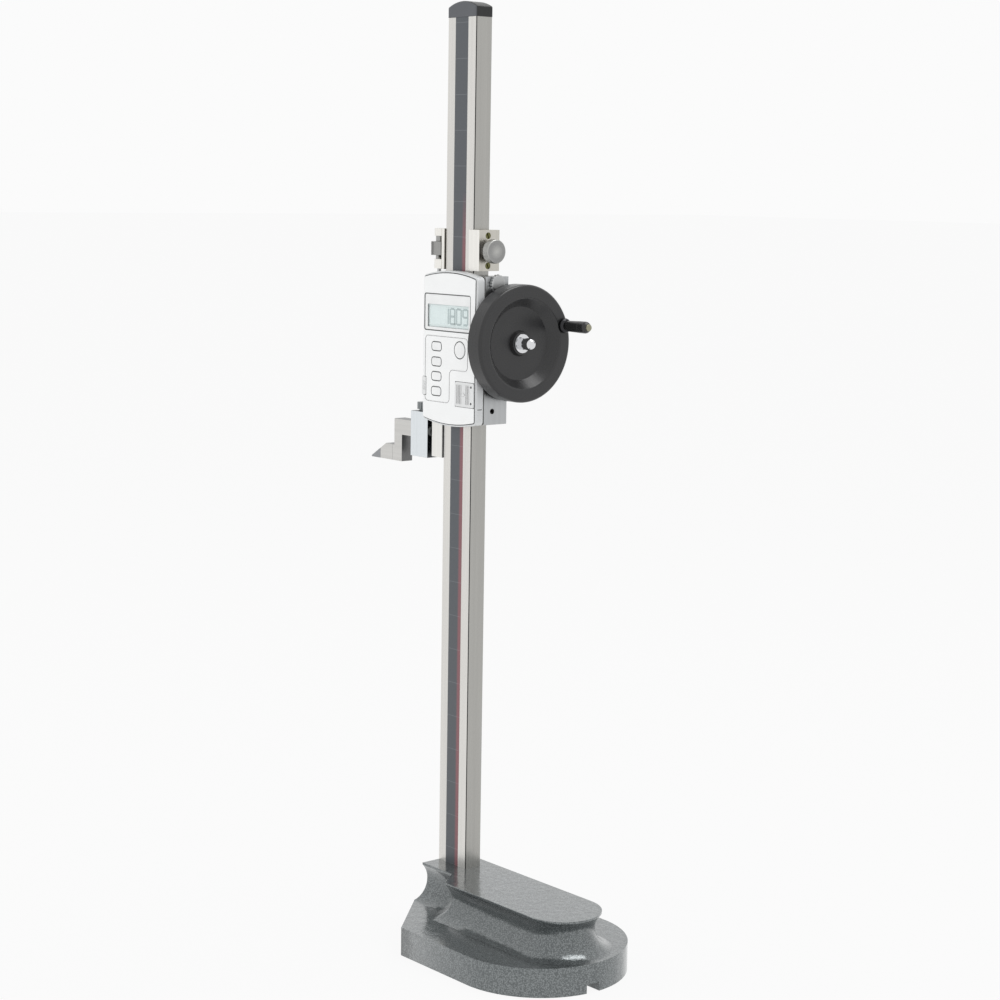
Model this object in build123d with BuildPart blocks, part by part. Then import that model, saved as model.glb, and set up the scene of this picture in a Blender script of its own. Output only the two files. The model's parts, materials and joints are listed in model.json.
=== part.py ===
from build123d import *
import os
from math import acos, cos, pi, radians, sin, sqrt, tan

# A digital height gauge: a cast base carries a ground beam, and a slider with a display, a hand wheel
# and a scriber runs up and down the beam. Millimetres, +Z up. The origin is on the resting face of the
# base, under the middle of the beam. +X runs towards the hand wheel, -Y towards the user.

# ---------------------------------------------------------------- driving dimensions
base_axis_y = -10.8         # the casting's centre line lies in front of the beam's
base_left = -16.0           # flat machined end beside the beam
plinth_height = 21.0
plinth_half_width = 65.0
plinth_tip = 169.0
plate_top = 49.0
plate_half_width = 28.9
plate_tip = 158.2
cove_radius = 15.5
cove_lip = 1.5              # what the coves leave of the top plate's edge

beam_width = 32.4
beam_depth = 14.5
beam_top = 675.0
beam_socket = 12.0          # depth of the beam's foot in the base
cap_height = 11.3

module_mm = 0.8
pinion_teeth = 17
pressure_angle = radians(20)
tooth_thinning = 0.06
rack_addendum = 0.9 * module_mm
rack_width = 8.0
rack_x = 6.0
rack_low, rack_high = 90.0, 630.0

slider_left, slider_right = -29.5, 33.5
slider_front, slider_rear = -9.8, 11.7
slider_low, slider_high = 384.8, 491.5
slide_gap = 0.3             # between the beam and what runs on it
wheel_z = 443.9

wheel_radius = 42.5
wheel_back, wheel_front = 37.3, 51.6
shaft_radius = 4.0
bush_clearance = 0.03

carriage_low, carriage_high = 495.0, 524.5
carriage_left, carriage_right = -19.5, 24.0
carriage_front, carriage_rear = -8.5, 10.3
spindle_x, spindle_y = -26.4, -5.0
spindle_radius = 1.5

panel_front = -17.8
panel_left, panel_right = -27.7, 31.7
panel_low, panel_high = 386.6, 489.2
case_front = -17.2
screw_gap = 0.05            # radial running clearance of every screw that turns

# ---------------------------------------------------------------- derived places
beam_front, beam_rear = -beam_depth / 2, beam_depth / 2
pitch_radius = module_mm * pinion_teeth / 2
rack_pitch = pi * module_mm
pinion_y = beam_rear - rack_addendum + pitch_radius
base_plane = Plane((0, base_axis_y, 0))
front_plane = Plane((0, 0, 0), x_dir=(1, 0, 0), z_dir=(0, -1, 0))       # sketches seen from the user
side_plane = Plane((0, 0, 0), x_dir=(0, 1, 0), z_dir=(1, 0, 0))         # sketches seen from the wheel side


def front_at(y):
    """The plane of a sketch that the user faces, at depth y: its x is +X and its y is +Z."""
    return front_plane.offset(-y)


def side_at(x):
    """The plane of a sketch seen from the hand wheel, at x: its x is +Y and its y is +Z."""
    return side_plane.offset(x)


def axle_at(y, z):
    """The plane of a half profile turned about an axle along X: its x is +X and its y is the radius."""
    return Plane((0, y, z), x_dir=(1, 0, 0), z_dir=(0, -1, 0))


def axle(y, z):
    """The axle itself."""
    return Axis((0, y, z), (1, 0, 0))


def knurl(radius, ridges, depth):
    """The outline of a straight knurl: points on two circles by turns."""
    step = pi / ridges
    radii = [radius - depth * (place % 2) for place in range(2 * ridges)]
    return [(r * cos(place * step), r * sin(place * step)) for place, r in enumerate(radii)]


# ---------------------------------------------------------------- base casting
left_half_width = 19.5
corner_end_x = 27.7         # where the slanting corners run into the sides
nose_x = plinth_tip - plinth_half_width
plate_nose_x = plate_tip - plate_half_width
thumb_recess_x, thumb_recess_y = 19.5, -12.0     # the plate is narrower beside the beam's foot, at the front
thumb_step_x = 33.0
back_cut_x, back_cut_y = -3.0, 21.0
cove_axis_z = plinth_height + cove_radius - 0.1
cove_offset = sqrt(cove_radius**2 - (plate_top - cove_lip - cove_axis_z) ** 2)

# plan of the plinth: a flat left end, slanting corners and a round nose
with BuildSketch() as plinth_outline:
    with BuildLine():
        Polyline(
            (base_left, 0),
            (base_left, -left_half_width),
            (corner_end_x, -plinth_half_width),
            (nose_x, -plinth_half_width),
        )
        CenterArc((nose_x, 0), plinth_half_width, -90, 90)
        mirror(about=Plane.XZ)
    make_face()

plate_corners = [
    (plate_nose_x, plate_half_width),
    (back_cut_x, plate_half_width),
    (base_left, back_cut_y),
    (base_left, thumb_recess_y),
    (thumb_recess_x, thumb_recess_y),
    (thumb_step_x, -plate_half_width),
    (plate_nose_x, -plate_half_width),
]

# plan of the top plate: round nose, cut back corner, and a recess for the thumb at the front
with BuildSketch() as plate_outline:
    with BuildLine():
        Polyline(*plate_corners)
        ThreePointArc(plate_corners[-1], (plate_tip, 0), plate_corners[0])
    make_face()


def cove_line(start, end):
    """The axis of the cove beside one straight edge of the plate: a point in plan and a direction."""
    along = (Vector(*end) - Vector(*start)).normalized()
    outward = Vector(along.Y, -along.X)
    return Vector(*start) + outward * cove_offset, along


def cross(first, second):
    """Where two axes in plan meet, each a point and a direction."""
    (p, u), (q, v) = first, second
    t = ((q.X - p.X) * v.Y - (q.Y - p.Y) * v.X) / (u.X * v.Y - u.Y * v.X)
    return p + u * t


back_cove = cove_line(plate_corners[0], plate_corners[1])
back_cut_cove = cove_line(plate_corners[1], plate_corners[2])
recess_cove = cove_line(plate_corners[3], plate_corners[4])
step_cove = cove_line(plate_corners[4], plate_corners[5])
front_cove = cove_line(plate_corners[5], plate_corners[6])
recess_corner = cross(recess_cove, step_cove)
overrun = 45.0
cove_runs = [
    (back_cove[0], back_cove[0] + back_cove[1] * (plate_nose_x - base_left + overrun)),
    (back_cut_cove[0] - back_cut_cove[1] * overrun, back_cut_cove[0] + back_cut_cove[1] * overrun),
    (recess_cove[0] - recess_cove[1] * overrun, recess_corner),
    (recess_corner, recess_corner + step_cove[1] * overrun),
    (front_cove[0] - front_cove[1] * overrun, Vector(plate_nose_x, -plate_half_width - cove_offset)),
]

relief_depth = 6.4
relief_x, relief_length, relief_width, relief_corner = 98.0, 98.0, 88.0, 18.0
groove_width = 11.0
groove_y = -3.8
beam_screw_x = 9.0
beam_screw_radius = 3.0
beam_screw_head, beam_screw_head_height = 5.0, 6.0
beam_screw_sink = 22.0
head_gap = 0.5

with BuildPart() as neck:
    with BuildSketch(base_plane.offset(plinth_height)):
        add(plate_outline.sketch)
    extrude(amount=plate_top - plinth_height)
    with BuildSketch(base_plane.offset(plinth_height)):
        add(plate_outline.sketch)
        offset(amount=cove_offset, kind=Kind.INTERSECTION)
    extrude(amount=cove_axis_z - plinth_height)
    for start, end in cove_runs:
        run = end - start
        with BuildSketch(Plane((start.X, start.Y + base_axis_y, cove_axis_z), z_dir=(run.X, run.Y, 0))):
            Circle(cove_radius)
        extrude(amount=run.length, mode=Mode.SUBTRACT)
    with Locations((recess_corner.X, recess_corner.Y + base_axis_y, cove_axis_z)):
        Sphere(cove_radius, mode=Mode.SUBTRACT)
    nose_centre = (plate_nose_x, base_axis_y - plate_half_width - cove_offset, cove_axis_z)
    with BuildSketch(Plane(nose_centre, z_dir=(1, 0, 0))):
        Circle(cove_radius)
    revolve(axis=Axis((plate_nose_x, base_axis_y, 0), (0, 0, 1)), revolution_arc=180, mode=Mode.SUBTRACT)
    with BuildSketch(base_plane):
        add(plinth_outline.sketch)
    extrude(amount=plate_top, mode=Mode.INTERSECT)

with BuildPart() as base_casting:
    with BuildSketch(base_plane):
        add(plinth_outline.sketch)
    extrude(amount=plinth_height)
    add(neck.part)
    with BuildSketch(base_plane):
        with Locations((relief_x, 0)):
            RectangleRounded(relief_length, relief_width, relief_corner)
        with Locations((plinth_tip, groove_y)):
            Rectangle(2 * (plinth_tip - relief_x), groove_width)
    extrude(amount=relief_depth, mode=Mode.SUBTRACT)
    with BuildSketch(Plane.XY.offset(plate_top)):
        Rectangle(beam_width, beam_depth)
    extrude(amount=-beam_socket, mode=Mode.SUBTRACT)
    with Locations(*[Plane((side * beam_screw_x, 0, 0), z_dir=(0, 0, -1)) for side in (-1, 1)]):
        CounterBoreHole(beam_screw_radius, beam_screw_head + head_gap, beam_screw_sink)

# ---------------------------------------------------------------- beam, rack, strip and cap
strip_left, strip_right = -7.5, 7.0
strip_depth = 0.5
beam_chamfer = 0.5
strip_middle = (strip_left + strip_right) / 2
rack_back = 4.5
cap_plug_radius = 4.0
cap_plug_length = 10.0
cap_margin = 0.4            # the cap stands proud of the beam all round
cap_shoulder = 4.0          # how far its crown falls towards the sides
cap_rounding = 1.4
screw_reach = 14.0

with BuildPart() as beam:
    with BuildSketch(Plane.XY.offset(plate_top - beam_socket)):
        Rectangle(beam_width, beam_depth)
    extrude(amount=beam_top - plate_top + beam_socket)
    chamfer(beam.edges().filter_by(Axis.Z), beam_chamfer)
    with BuildSketch(Plane.XY.offset(plate_top)):
        with Locations((strip_middle, beam_front)):
            Rectangle(strip_right - strip_left, 2 * strip_depth)
    extrude(amount=beam_top - plate_top, mode=Mode.SUBTRACT)
    with BuildSketch(Plane.XY.offset(rack_low)):
        with Locations((rack_x, beam_rear)):
            Rectangle(rack_width, 2 * rack_back)
    extrude(amount=rack_high - rack_low, mode=Mode.SUBTRACT)
    with Locations((0, 0, beam_top)):
        Hole(cap_plug_radius, depth=cap_plug_length)
    for side in (-1, 1):
        with BuildSketch(Plane((side * beam_screw_x, 0, plate_top - beam_socket))):
            Circle(beam_screw_radius)
        extrude(amount=screw_reach, mode=Mode.SUBTRACT)

with BuildPart() as graduated_strip:
    with BuildSketch(Plane.XY.offset(plate_top)):
        with Locations((strip_middle, beam_front + strip_depth / 2)):
            Rectangle(strip_right - strip_left, strip_depth)
    extrude(amount=beam_top - plate_top)


def rack_profile():
    """The toothed side of the rack, in y and z, with a gap level with the pinion's axis."""
    half_top = rack_pitch / 4 - rack_addendum * tan(pressure_angle) - tooth_thinning
    half_root = rack_pitch / 4 + 1.25 * module_mm * tan(pressure_angle) - tooth_thinning
    root_y = beam_rear - rack_addendum - 1.25 * module_mm
    first = int((wheel_z - rack_low) / rack_pitch) - 1
    count = int((rack_high - rack_low) / rack_pitch) - 1
    points = [(beam_rear - rack_back, rack_low), (root_y, rack_low)]
    for tooth in range(count):
        z = wheel_z + (tooth - first + 0.5) * rack_pitch
        points += [(root_y, z - half_root), (beam_rear, z - half_top)]
        points += [(beam_rear, z + half_top), (root_y, z + half_root)]
    return points + [(root_y, rack_high), (beam_rear - rack_back, rack_high)]


with BuildPart() as feed_rack:
    with BuildSketch(side_at(rack_x - rack_width / 2)):
        with BuildLine():
            Polyline(*rack_profile(), close=True)
        make_face()
    extrude(amount=rack_width)

cap_half_width = beam_width / 2 + cap_margin
with BuildPart() as top_cap:
    with BuildSketch(Plane.XY.offset(beam_top)):
        RectangleRounded(2 * cap_half_width, beam_depth + 2 * cap_margin, 1.6)
    extrude(amount=cap_height)
    with BuildSketch(front_at(beam_front - cap_margin)):
        with BuildLine():
            crown = ThreePointArc(
                (-cap_half_width, beam_top + cap_height - cap_shoulder),
                (0, beam_top + cap_height),
                (cap_half_width, beam_top + cap_height - cap_shoulder),
            )
            Polyline(crown @ 1, (cap_half_width, beam_top), (-cap_half_width, beam_top), crown @ 0)
        make_face()
    extrude(amount=-(beam_depth + 2 * cap_margin), mode=Mode.INTERSECT)
    fillet(top_cap.edges().group_by(Axis.Z)[-1], cap_rounding)
    with BuildSketch(Plane.XY.offset(beam_top - cap_plug_length)):
        Circle(cap_plug_radius - screw_gap)
    extrude(amount=cap_plug_length)

socket_across, socket_depth = 5.0, 3.5
with BuildPart() as beam_screws:
    for side in (-1, 1):
        with BuildSketch(Plane((side * beam_screw_x, 0, beam_screw_sink - beam_screw_head_height))):
            Circle(beam_screw_head)
        extrude(amount=beam_screw_head_height)
        with BuildSketch(Plane((side * beam_screw_x, 0, beam_screw_sink - beam_screw_head_height))):
            RegularPolygon(socket_across / 2, 6, major_radius=False)
        extrude(amount=socket_depth, mode=Mode.SUBTRACT)
        with BuildSketch(Plane((side * beam_screw_x, 0, beam_screw_sink))):
            Circle(beam_screw_radius - screw_gap)
        extrude(amount=plate_top - beam_socket + screw_reach - beam_screw_sink)

# ---------------------------------------------------------------- slider frame, back plate and gib
gib_thickness = 2.2
gib_inset = 1.0             # the gibs end short of what holds them
channel_left = -beam_width / 2 - slide_gap
gib_left = beam_width / 2 + slide_gap
channel_right = gib_left + gib_thickness
channel_front = beam_front - slide_gap
channel_rear = beam_rear + slide_gap
frame_chamfer = 0.4
plate_span = 51.0           # the back plate lies in a seat between the frame's sides
plate_low, plate_high = 386.5, 489.5
window_width, window_low, window_high, window_corner = 20.0, 425.0, 469.0, 2.0
leg_left, leg_low = -28.5, 356.0
leg_front, leg_rear = -8.5, 6.5
spindle_foot = 474.0
gib_screw_radius = 2.0
gib_screw_sink = 0.4
gib_socket_radius, gib_socket_depth = 1.15, 2.0
gib_screw_places = [(-2.1, z) for z in (394.5, 414.0, 470.0)]
lock_y, lock_z = 0.0, 486.5
lock_stem_radius = 2.5
stem_gap = 0.3              # what is left between a slackened clamp screw and its gib
lock_radius, lock_face_radius = 6.6, 5.0
lock_back, lock_face = slider_right + 0.3, 36.7
lock_ridges, lock_ridge_depth = 17, 0.8
jaw_screw_y, jaw_screw_z = -2.9, 374.0
jaw_screw_radius = 2.5
screw_depth = 6.0
plate_screw_radius = 1.5
plate_screw_head = 2.8
plate_screw_sink = 1.6
plate_socket_radius, plate_socket_depth = 1.4, 1.2
plate_screw_places = [(x, z) for x in (-21.5, 21.5) for z in (399.0, 478.0)]
barrel_radius = 11.0
barrel_left, barrel_right = -6.0, 36.0
barrel_foot = 6.0
bush_radius = 5.0
pinion_left, pinion_right = 2.2, 9.8
pocket_gap = 0.7
pocket_radius = pitch_radius + 1.6

with BuildPart() as slider_frame:
    with BuildSketch(Plane.XY.offset(slider_low)):
        with Locations(((slider_left + slider_right) / 2, (slider_front + slider_rear) / 2)):
            Rectangle(slider_right - slider_left, slider_rear - slider_front)
    extrude(amount=slider_high - slider_low)
    chamfer(slider_frame.edges().filter_by(Axis.Z).group_by(Axis.Y)[-1], frame_chamfer)
    with BuildSketch(Plane.XY.offset(leg_low)):
        with Locations(((leg_left + channel_left) / 2, (leg_front + leg_rear) / 2)):
            Rectangle(channel_left - leg_left, leg_rear - leg_front)
    extrude(amount=slider_low - leg_low)
    with BuildSketch(Plane.XY.offset(slider_low)):
        with Locations(((channel_left + channel_right) / 2, (channel_front + slider_rear) / 2)):
            Rectangle(channel_right - channel_left, slider_rear - channel_front)
    extrude(amount=slider_high - slider_low, mode=Mode.SUBTRACT)
    with BuildSketch(front_at(channel_rear)):
        with Locations((0, (plate_low + plate_high) / 2)):
            Rectangle(plate_span, plate_high - plate_low)
    extrude(amount=channel_rear - slider_rear, mode=Mode.SUBTRACT)
    with BuildSketch(front_at(channel_front)):
        with Locations((0, (window_low + window_high) / 2)):
            RectangleRounded(window_width, window_high - window_low, window_corner)
    extrude(amount=channel_front - slider_front, mode=Mode.SUBTRACT)
    with Locations((spindle_x, spindle_y, slider_high)):
        Hole(spindle_radius, depth=slider_high - spindle_foot)
    with BuildSketch(side_at(slider_right)):
        with Locations(*gib_screw_places):
            Circle(gib_screw_radius)
        with Locations((lock_y, lock_z)):
            Circle(lock_stem_radius + screw_gap)
    extrude(amount=channel_right - slider_right, mode=Mode.SUBTRACT)
    with BuildSketch(side_at(leg_left)):
        with Locations((jaw_screw_y, jaw_screw_z)):
            Circle(jaw_screw_radius)
    extrude(amount=screw_depth, mode=Mode.SUBTRACT)
    with BuildSketch(side_at(plate_span / 2)):
        with Locations((pinion_y, wheel_z)):
            Circle(barrel_radius)
    extrude(amount=slider_right - plate_span / 2, mode=Mode.SUBTRACT)
    with BuildSketch(front_at(channel_rear)):
        with Locations(*plate_screw_places):
            Circle(plate_screw_radius)
    extrude(amount=screw_depth, mode=Mode.SUBTRACT)

# side view of the barrel that the pinion turns in, with its foot on the back plate
foot_low = wheel_z - barrel_radius - barrel_foot
foot_high = wheel_z + barrel_radius + barrel_foot
with BuildSketch() as barrel_outline:
    with BuildLine():
        Polyline((channel_rear, foot_low), (slider_rear, foot_low), (pinion_y, wheel_z - barrel_radius))
        RadiusArc((pinion_y, wheel_z - barrel_radius), (pinion_y, wheel_z + barrel_radius), -barrel_radius)
        Polyline(
            (pinion_y, wheel_z + barrel_radius),
            (slider_rear, foot_high),
            (channel_rear, foot_high),
            (channel_rear, foot_low),
        )
    make_face()

with BuildPart() as back_plate:
    with BuildSketch(front_at(slider_rear)):
        with Locations((0, (plate_low + plate_high) / 2)):
            Rectangle(plate_span, plate_high - plate_low)
    extrude(amount=slider_rear - channel_rear)
    with BuildSketch(side_at(barrel_left)):
        add(barrel_outline.sketch)
    extrude(amount=plate_span / 2 - barrel_left)
    with BuildSketch(side_at(plate_span / 2)):
        with Locations((pinion_y, wheel_z)):
            Circle(barrel_radius)
    extrude(amount=barrel_right - plate_span / 2)
    with BuildSketch(side_at(barrel_left)):
        with Locations((pinion_y, wheel_z)):
            Circle(bush_radius)
    extrude(amount=barrel_right - barrel_left, mode=Mode.SUBTRACT)
    with BuildSketch(side_at(pinion_left - pocket_gap)):
        with Locations((pinion_y, wheel_z)):
            Circle(pocket_radius)
    extrude(amount=pinion_right - pinion_left + 2 * pocket_gap, mode=Mode.SUBTRACT)
    with Locations(*[Plane((x, slider_rear, z), z_dir=(0, 1, 0)) for x, z in plate_screw_places]):
        CounterBoreHole(plate_screw_radius, plate_screw_head + 0.2, plate_screw_sink)

with BuildPart() as back_plate_screws:
    with BuildSketch(front_at(slider_rear - plate_screw_sink)):
        with Locations(*plate_screw_places):
            Circle(plate_screw_head)
    extrude(amount=-plate_screw_sink)
    with BuildSketch(front_at(slider_rear - plate_screw_sink)):
        with Locations(*plate_screw_places):
            Circle(plate_screw_radius)
    extrude(amount=slider_rear - plate_screw_sink - channel_rear + screw_depth)
    with BuildSketch(front_at(slider_rear)):
        with Locations(*plate_screw_places):
            RegularPolygon(plate_socket_radius, 6)
    extrude(amount=plate_socket_depth, mode=Mode.SUBTRACT)

with BuildPart() as shaft_bushes:
    for low, high in ((barrel_left, pinion_left - pocket_gap), (pinion_right + pocket_gap, barrel_right)):
        with BuildSketch(side_at(low)):
            with Locations((pinion_y, wheel_z)):
                Circle(bush_radius)
                Circle(shaft_radius + bush_clearance, mode=Mode.SUBTRACT)
        extrude(amount=high - low)

with BuildPart() as slider_gib:
    with BuildSketch(side_at(gib_left)):
        with Locations((0, (slider_low + slider_high) / 2)):
            Rectangle(beam_depth, slider_high - slider_low - 2 * gib_inset)
    extrude(amount=gib_thickness)

with BuildPart() as gib_screws:
    with BuildSketch(side_at(channel_right)):
        with Locations(*gib_screw_places):
            Circle(gib_screw_radius)
    extrude(amount=slider_right - gib_screw_sink - channel_right)
    with BuildSketch(side_at(slider_right)):
        with Locations(*gib_screw_places):
            RegularPolygon(gib_socket_radius, 6)
    extrude(amount=-(gib_screw_sink + gib_socket_depth), mode=Mode.SUBTRACT)

with BuildPart() as lock_knob:
    with BuildSketch(Plane((lock_back, lock_y, lock_z), x_dir=(0, 1, 0), z_dir=(1, 0, 0))):
        with BuildLine():
            Polyline(*knurl(lock_radius, lock_ridges, lock_ridge_depth), close=True)
        make_face()
    extrude(amount=lock_face - lock_back)
    with BuildSketch(axle_at(lock_y, lock_z)):
        with BuildLine():
            Polyline(
                (lock_back, 0),
                (lock_back, lock_radius),
                (lock_face - (lock_radius - lock_face_radius) / 2, lock_radius),
                (lock_face, lock_face_radius),
                (lock_face, 0),
                close=True,
            )
        make_face()
    revolve(axis=axle(lock_y, lock_z), mode=Mode.INTERSECT)
    with BuildSketch(side_at(channel_right + stem_gap)):
        with Locations((lock_y, lock_z)):
            Circle(lock_stem_radius)
    extrude(amount=lock_back - channel_right - stem_gap)

# ---------------------------------------------------------------- measuring jaw and scriber
jaw_left, jaw_right = -54.5, -34.0
jaw_low, jaw_high = 354.0, 388.0
jaw_front, jaw_rear = -8.5, 6.5
tongue_front = 3.0
jaw_washer_radius, jaw_washer_width = 5.6, 3.5
tenon_low, tenon_high = 370.0, 378.5
tenon_front, tenon_rear = -4.5, 2.0
tenon_right = -38.0
tenon_gap = 0.15
clamp_x, clamp_y = -49.2, -1.5
clamp_neck_radius = 2.5
clamp_head_radius = 4.0
clamp_head_low, clamp_head_high = 389.2, 394.5
arm_front, arm_rear = -7.3, 2.8
arm_right = jaw_left - 0.3
arm_block_low, arm_high = 368.2, 380.0
arm_inner, arm_left = -67.0, -76.5
arm_low, blade_top = 347.9, 360.0
blade_joint, blade_shoulder = -78.7, -87.0
carbide_x = -94.0
point_x, point_z = -105.0, 348.9
bevel = 4.5                 # the rear bevel that makes the point narrow
clamp_ridges, clamp_ridge_depth = 20, 0.35
mortise_gap = 1.0           # room behind the tenon

with BuildPart() as measuring_jaw:
    with BuildSketch(Plane.XY.offset(jaw_low)):
        with Locations(((jaw_left + jaw_right) / 2, (jaw_front + jaw_rear) / 2)):
            Rectangle(jaw_right - jaw_left, jaw_rear - jaw_front)
    extrude(amount=jaw_high - jaw_low)
    with BuildSketch(Plane.XY.offset(leg_low)):
        with Locations(((jaw_right + leg_left) / 2, (tongue_front + jaw_rear) / 2)):
            Rectangle(leg_left - jaw_right, jaw_rear - tongue_front)
    extrude(amount=slider_low - leg_low)
    with BuildSketch(side_at(jaw_left)):
        with Locations(((tenon_front + tenon_rear) / 2, (tenon_low + tenon_high) / 2)):
            Rectangle(tenon_rear - tenon_front + 2 * tenon_gap, tenon_high - tenon_low + 2 * tenon_gap)
    extrude(amount=tenon_right + mortise_gap - jaw_left, mode=Mode.SUBTRACT)
    with BuildSketch(Plane.XY.offset(jaw_high)):
        with Locations((clamp_x, clamp_y)):
            Circle(clamp_neck_radius + screw_gap)
    extrude(amount=tenon_high - jaw_high, mode=Mode.SUBTRACT)

with BuildPart() as jaw_screw:
    with BuildSketch(side_at(jaw_right)):
        with Locations((jaw_screw_y, jaw_screw_z)):
            Circle(jaw_washer_radius)
    extrude(amount=jaw_washer_width)
    with BuildSketch(side_at(jaw_right)):
        with Locations((jaw_screw_y, jaw_screw_z)):
            Circle(jaw_screw_radius)
    extrude(amount=leg_left + screw_depth - jaw_right)

arm_corners = [
    (arm_right, arm_high),
    (arm_left, arm_high),
    (arm_left, blade_top),
    (blade_joint, blade_top),
    (blade_joint, arm_low),
    (arm_inner, arm_low),
    (arm_inner, arm_block_low),
    (arm_right, arm_block_low),
]
with BuildPart() as scriber_arm:
    with BuildSketch(front_at(arm_front)):
        with BuildLine():
            Polyline(*arm_corners, close=True)
        make_face()
    extrude(amount=arm_front - arm_rear)
    with BuildSketch(side_at(arm_right)):
        with Locations(((tenon_front + tenon_rear) / 2, (tenon_low + tenon_high) / 2)):
            Rectangle(tenon_rear - tenon_front, tenon_high - tenon_low)
    extrude(amount=tenon_right - arm_right)

slope = (blade_top - point_z) / (blade_shoulder - point_x)
carbide_top = blade_top - (blade_shoulder - carbide_x) * slope
blade_corners = [
    (blade_joint, blade_top),
    (blade_shoulder, blade_top),
    (carbide_x, carbide_top),
    (carbide_x, arm_low),
    (blade_joint, arm_low),
]
with BuildPart() as scriber_blade:
    with BuildSketch(front_at(arm_front)):
        with BuildLine():
            Polyline(*blade_corners, close=True)
        make_face()
    extrude(amount=arm_front - arm_rear)

with BuildPart() as scriber_tip:
    with BuildSketch(front_at(arm_front)):
        with BuildLine():
            Polyline(
                (carbide_x, carbide_top),
                (point_x, point_z),
                (point_x, arm_low),
                (carbide_x, arm_low),
                close=True,
            )
        make_face()
    extrude(amount=arm_front - arm_rear)
    with BuildSketch(Plane.XY.offset(arm_low)):
        with BuildLine():
            Polyline((point_x, arm_rear - bevel), (carbide_x, arm_rear), (point_x, arm_rear), close=True)
        make_face()
    extrude(amount=blade_top - arm_low, mode=Mode.SUBTRACT)

with BuildPart() as scriber_clamp_screw:
    with BuildSketch(Plane((clamp_x, clamp_y, clamp_head_low))):
        with BuildLine():
            Polyline(*knurl(clamp_head_radius, clamp_ridges, clamp_ridge_depth), close=True)
        make_face()
    extrude(amount=clamp_head_high - clamp_head_low)
    with BuildSketch(Plane((clamp_x, clamp_y, tenon_high + stem_gap))):
        Circle(clamp_neck_radius)
    extrude(amount=clamp_head_low - tenon_high - stem_gap)

# ---------------------------------------------------------------- display
case_rim = 1.8
case_rounding = 1.4
joint_width, joint_depth = 0.9, 0.9     # shadow groove between the case and the slider's frame
panel_corner = 1.5
panel_gap = 0.6
panel_rear = -16.3
case_wall_rear = -15.0
top_crown, bottom_crown = 492.8, 383.4
cavity_margin = 0.6
lcd_left, lcd_right, lcd_low, lcd_high = -26.4, 26.0, 451.1, 477.0
glass_left, glass_right, glass_low, glass_high = -23.5, 24.3, 453.2, 469.8
lcd_corner, lcd_gap = 1.5, 0.4
frame_seat = -17.0          # the window's frame lies on this level of the panel
frame_front = -17.6
glass_front, glass_rear = -17.4, -16.4
lcd_rear, lcd_inset = -13.6, 0.1
key_x = -12.2
key_width, key_height, key_corner = 10.8, 5.9, 2.0
key_rows = (439.2, 428.0, 417.3, 406.3)
key_gap = 0.45
key_front, key_rounding = -18.6, 0.5
key_flange = 0.9
flange_front, flange_rear = case_wall_rear + 0.1, -14.2
power_x, power_z, power_radius = 14.8, 438.0, 5.9
cover_left, cover_right, cover_low, cover_high = 10.3, 31.5, 397.2, 415.1
cover_front, cover_rear = -18.0, -17.25
cover_corner, cover_gap = 1.2, 0.3
cover_slide_gap = 0.05      # between a cover and the floor of its recess
rib_width, rib_height, rib_pitch = 0.7, 0.35, 1.6
rib_groups = ((14.5, 4), (24.2, 3))     # the middle of each group of ribs on the battery cover, and its count
rib_margin = 2.0
arrow_x, arrow_radius = 20.0, 1.9
pip_x, pip_radius, pip_depth = 28.5, 0.7, 0.4
pip_rows = (400.1, 412.0)
cell_x, cell_z, cell_radius, cell_gap = 20.9, 406.15, 5.8, 0.2
cell_front, cell_rear, cell_chamfer = -16.9, -11.5, 0.5
port_left, port_right, port_low, port_high = -29.0, -24.4, 402.8, 416.1
port_x, port_width, port_height = -26.0, 2.2, 9.6
port_corner, port_rib_pitch, port_ribs = 0.8, 1.8, 4
contact_width, contact_height, contact_depth, contact_pitch = 1.2, 0.8, 1.2, 2.0
board_front, board_rear, board_margin = -12.2, -10.6, 3.0
sensor_rear, sensor_margin = -7.75, 1.0
field_corners = [
    (-25.8, 447.0),
    (24.2, 447.0),
    (24.2, 422.8),
    (3.4, 422.8),
    (3.4, 398.5),
    (-25.8, 398.5),
]
field_corner = 3.5
field_line, field_depth = 0.5, 0.3
latch_slot_z, latch_slot_length, latch_slot_height, latch_slot_depth = 396.2, 4.0, 0.6, 0.5

panel_middle = (panel_left + panel_right) / 2
lcd_middle = ((lcd_left + lcd_right) / 2, (lcd_low + lcd_high) / 2)
glass_middle = ((glass_left + glass_right) / 2, (glass_low + glass_high) / 2)
cover_middle = ((cover_left + cover_right) / 2, (cover_low + cover_high) / 2)
port_middle = ((port_left + port_right) / 2, (port_low + port_high) / 2)

# front view of the panel: straight sides between a crowned top and a bottom that bows downwards
with BuildSketch() as panel_outline:
    with BuildLine():
        crown = ThreePointArc((panel_left, panel_high), (panel_middle, top_crown), (panel_right, panel_high))
        foot = ThreePointArc((panel_left, panel_low), (panel_middle, bottom_crown), (panel_right, panel_low))
        Line(crown @ 0, foot @ 0)
        Line(crown @ 1, foot @ 1)
    make_face()
    fillet(panel_outline.vertices(), panel_corner)

with BuildSketch() as key_holes:
    with Locations(*[(key_x, z) for z in key_rows]):
        RectangleRounded(key_width + 2 * key_gap, key_height + 2 * key_gap, key_corner + key_gap)
    with Locations((power_x, power_z)):
        Circle(power_radius + key_gap)

# what shows through both the panel and the case's front wall
with BuildSketch() as front_openings:
    add(key_holes.sketch)
    with Locations(glass_middle):
        Rectangle(glass_right - glass_left, glass_high - glass_low)
    with Locations((cell_x, cell_z)):
        Circle(cell_radius + cell_gap)
    with Locations((port_x, port_middle[1])):
        Rectangle(port_width + cell_gap, port_height + 2 * cell_gap)

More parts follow.
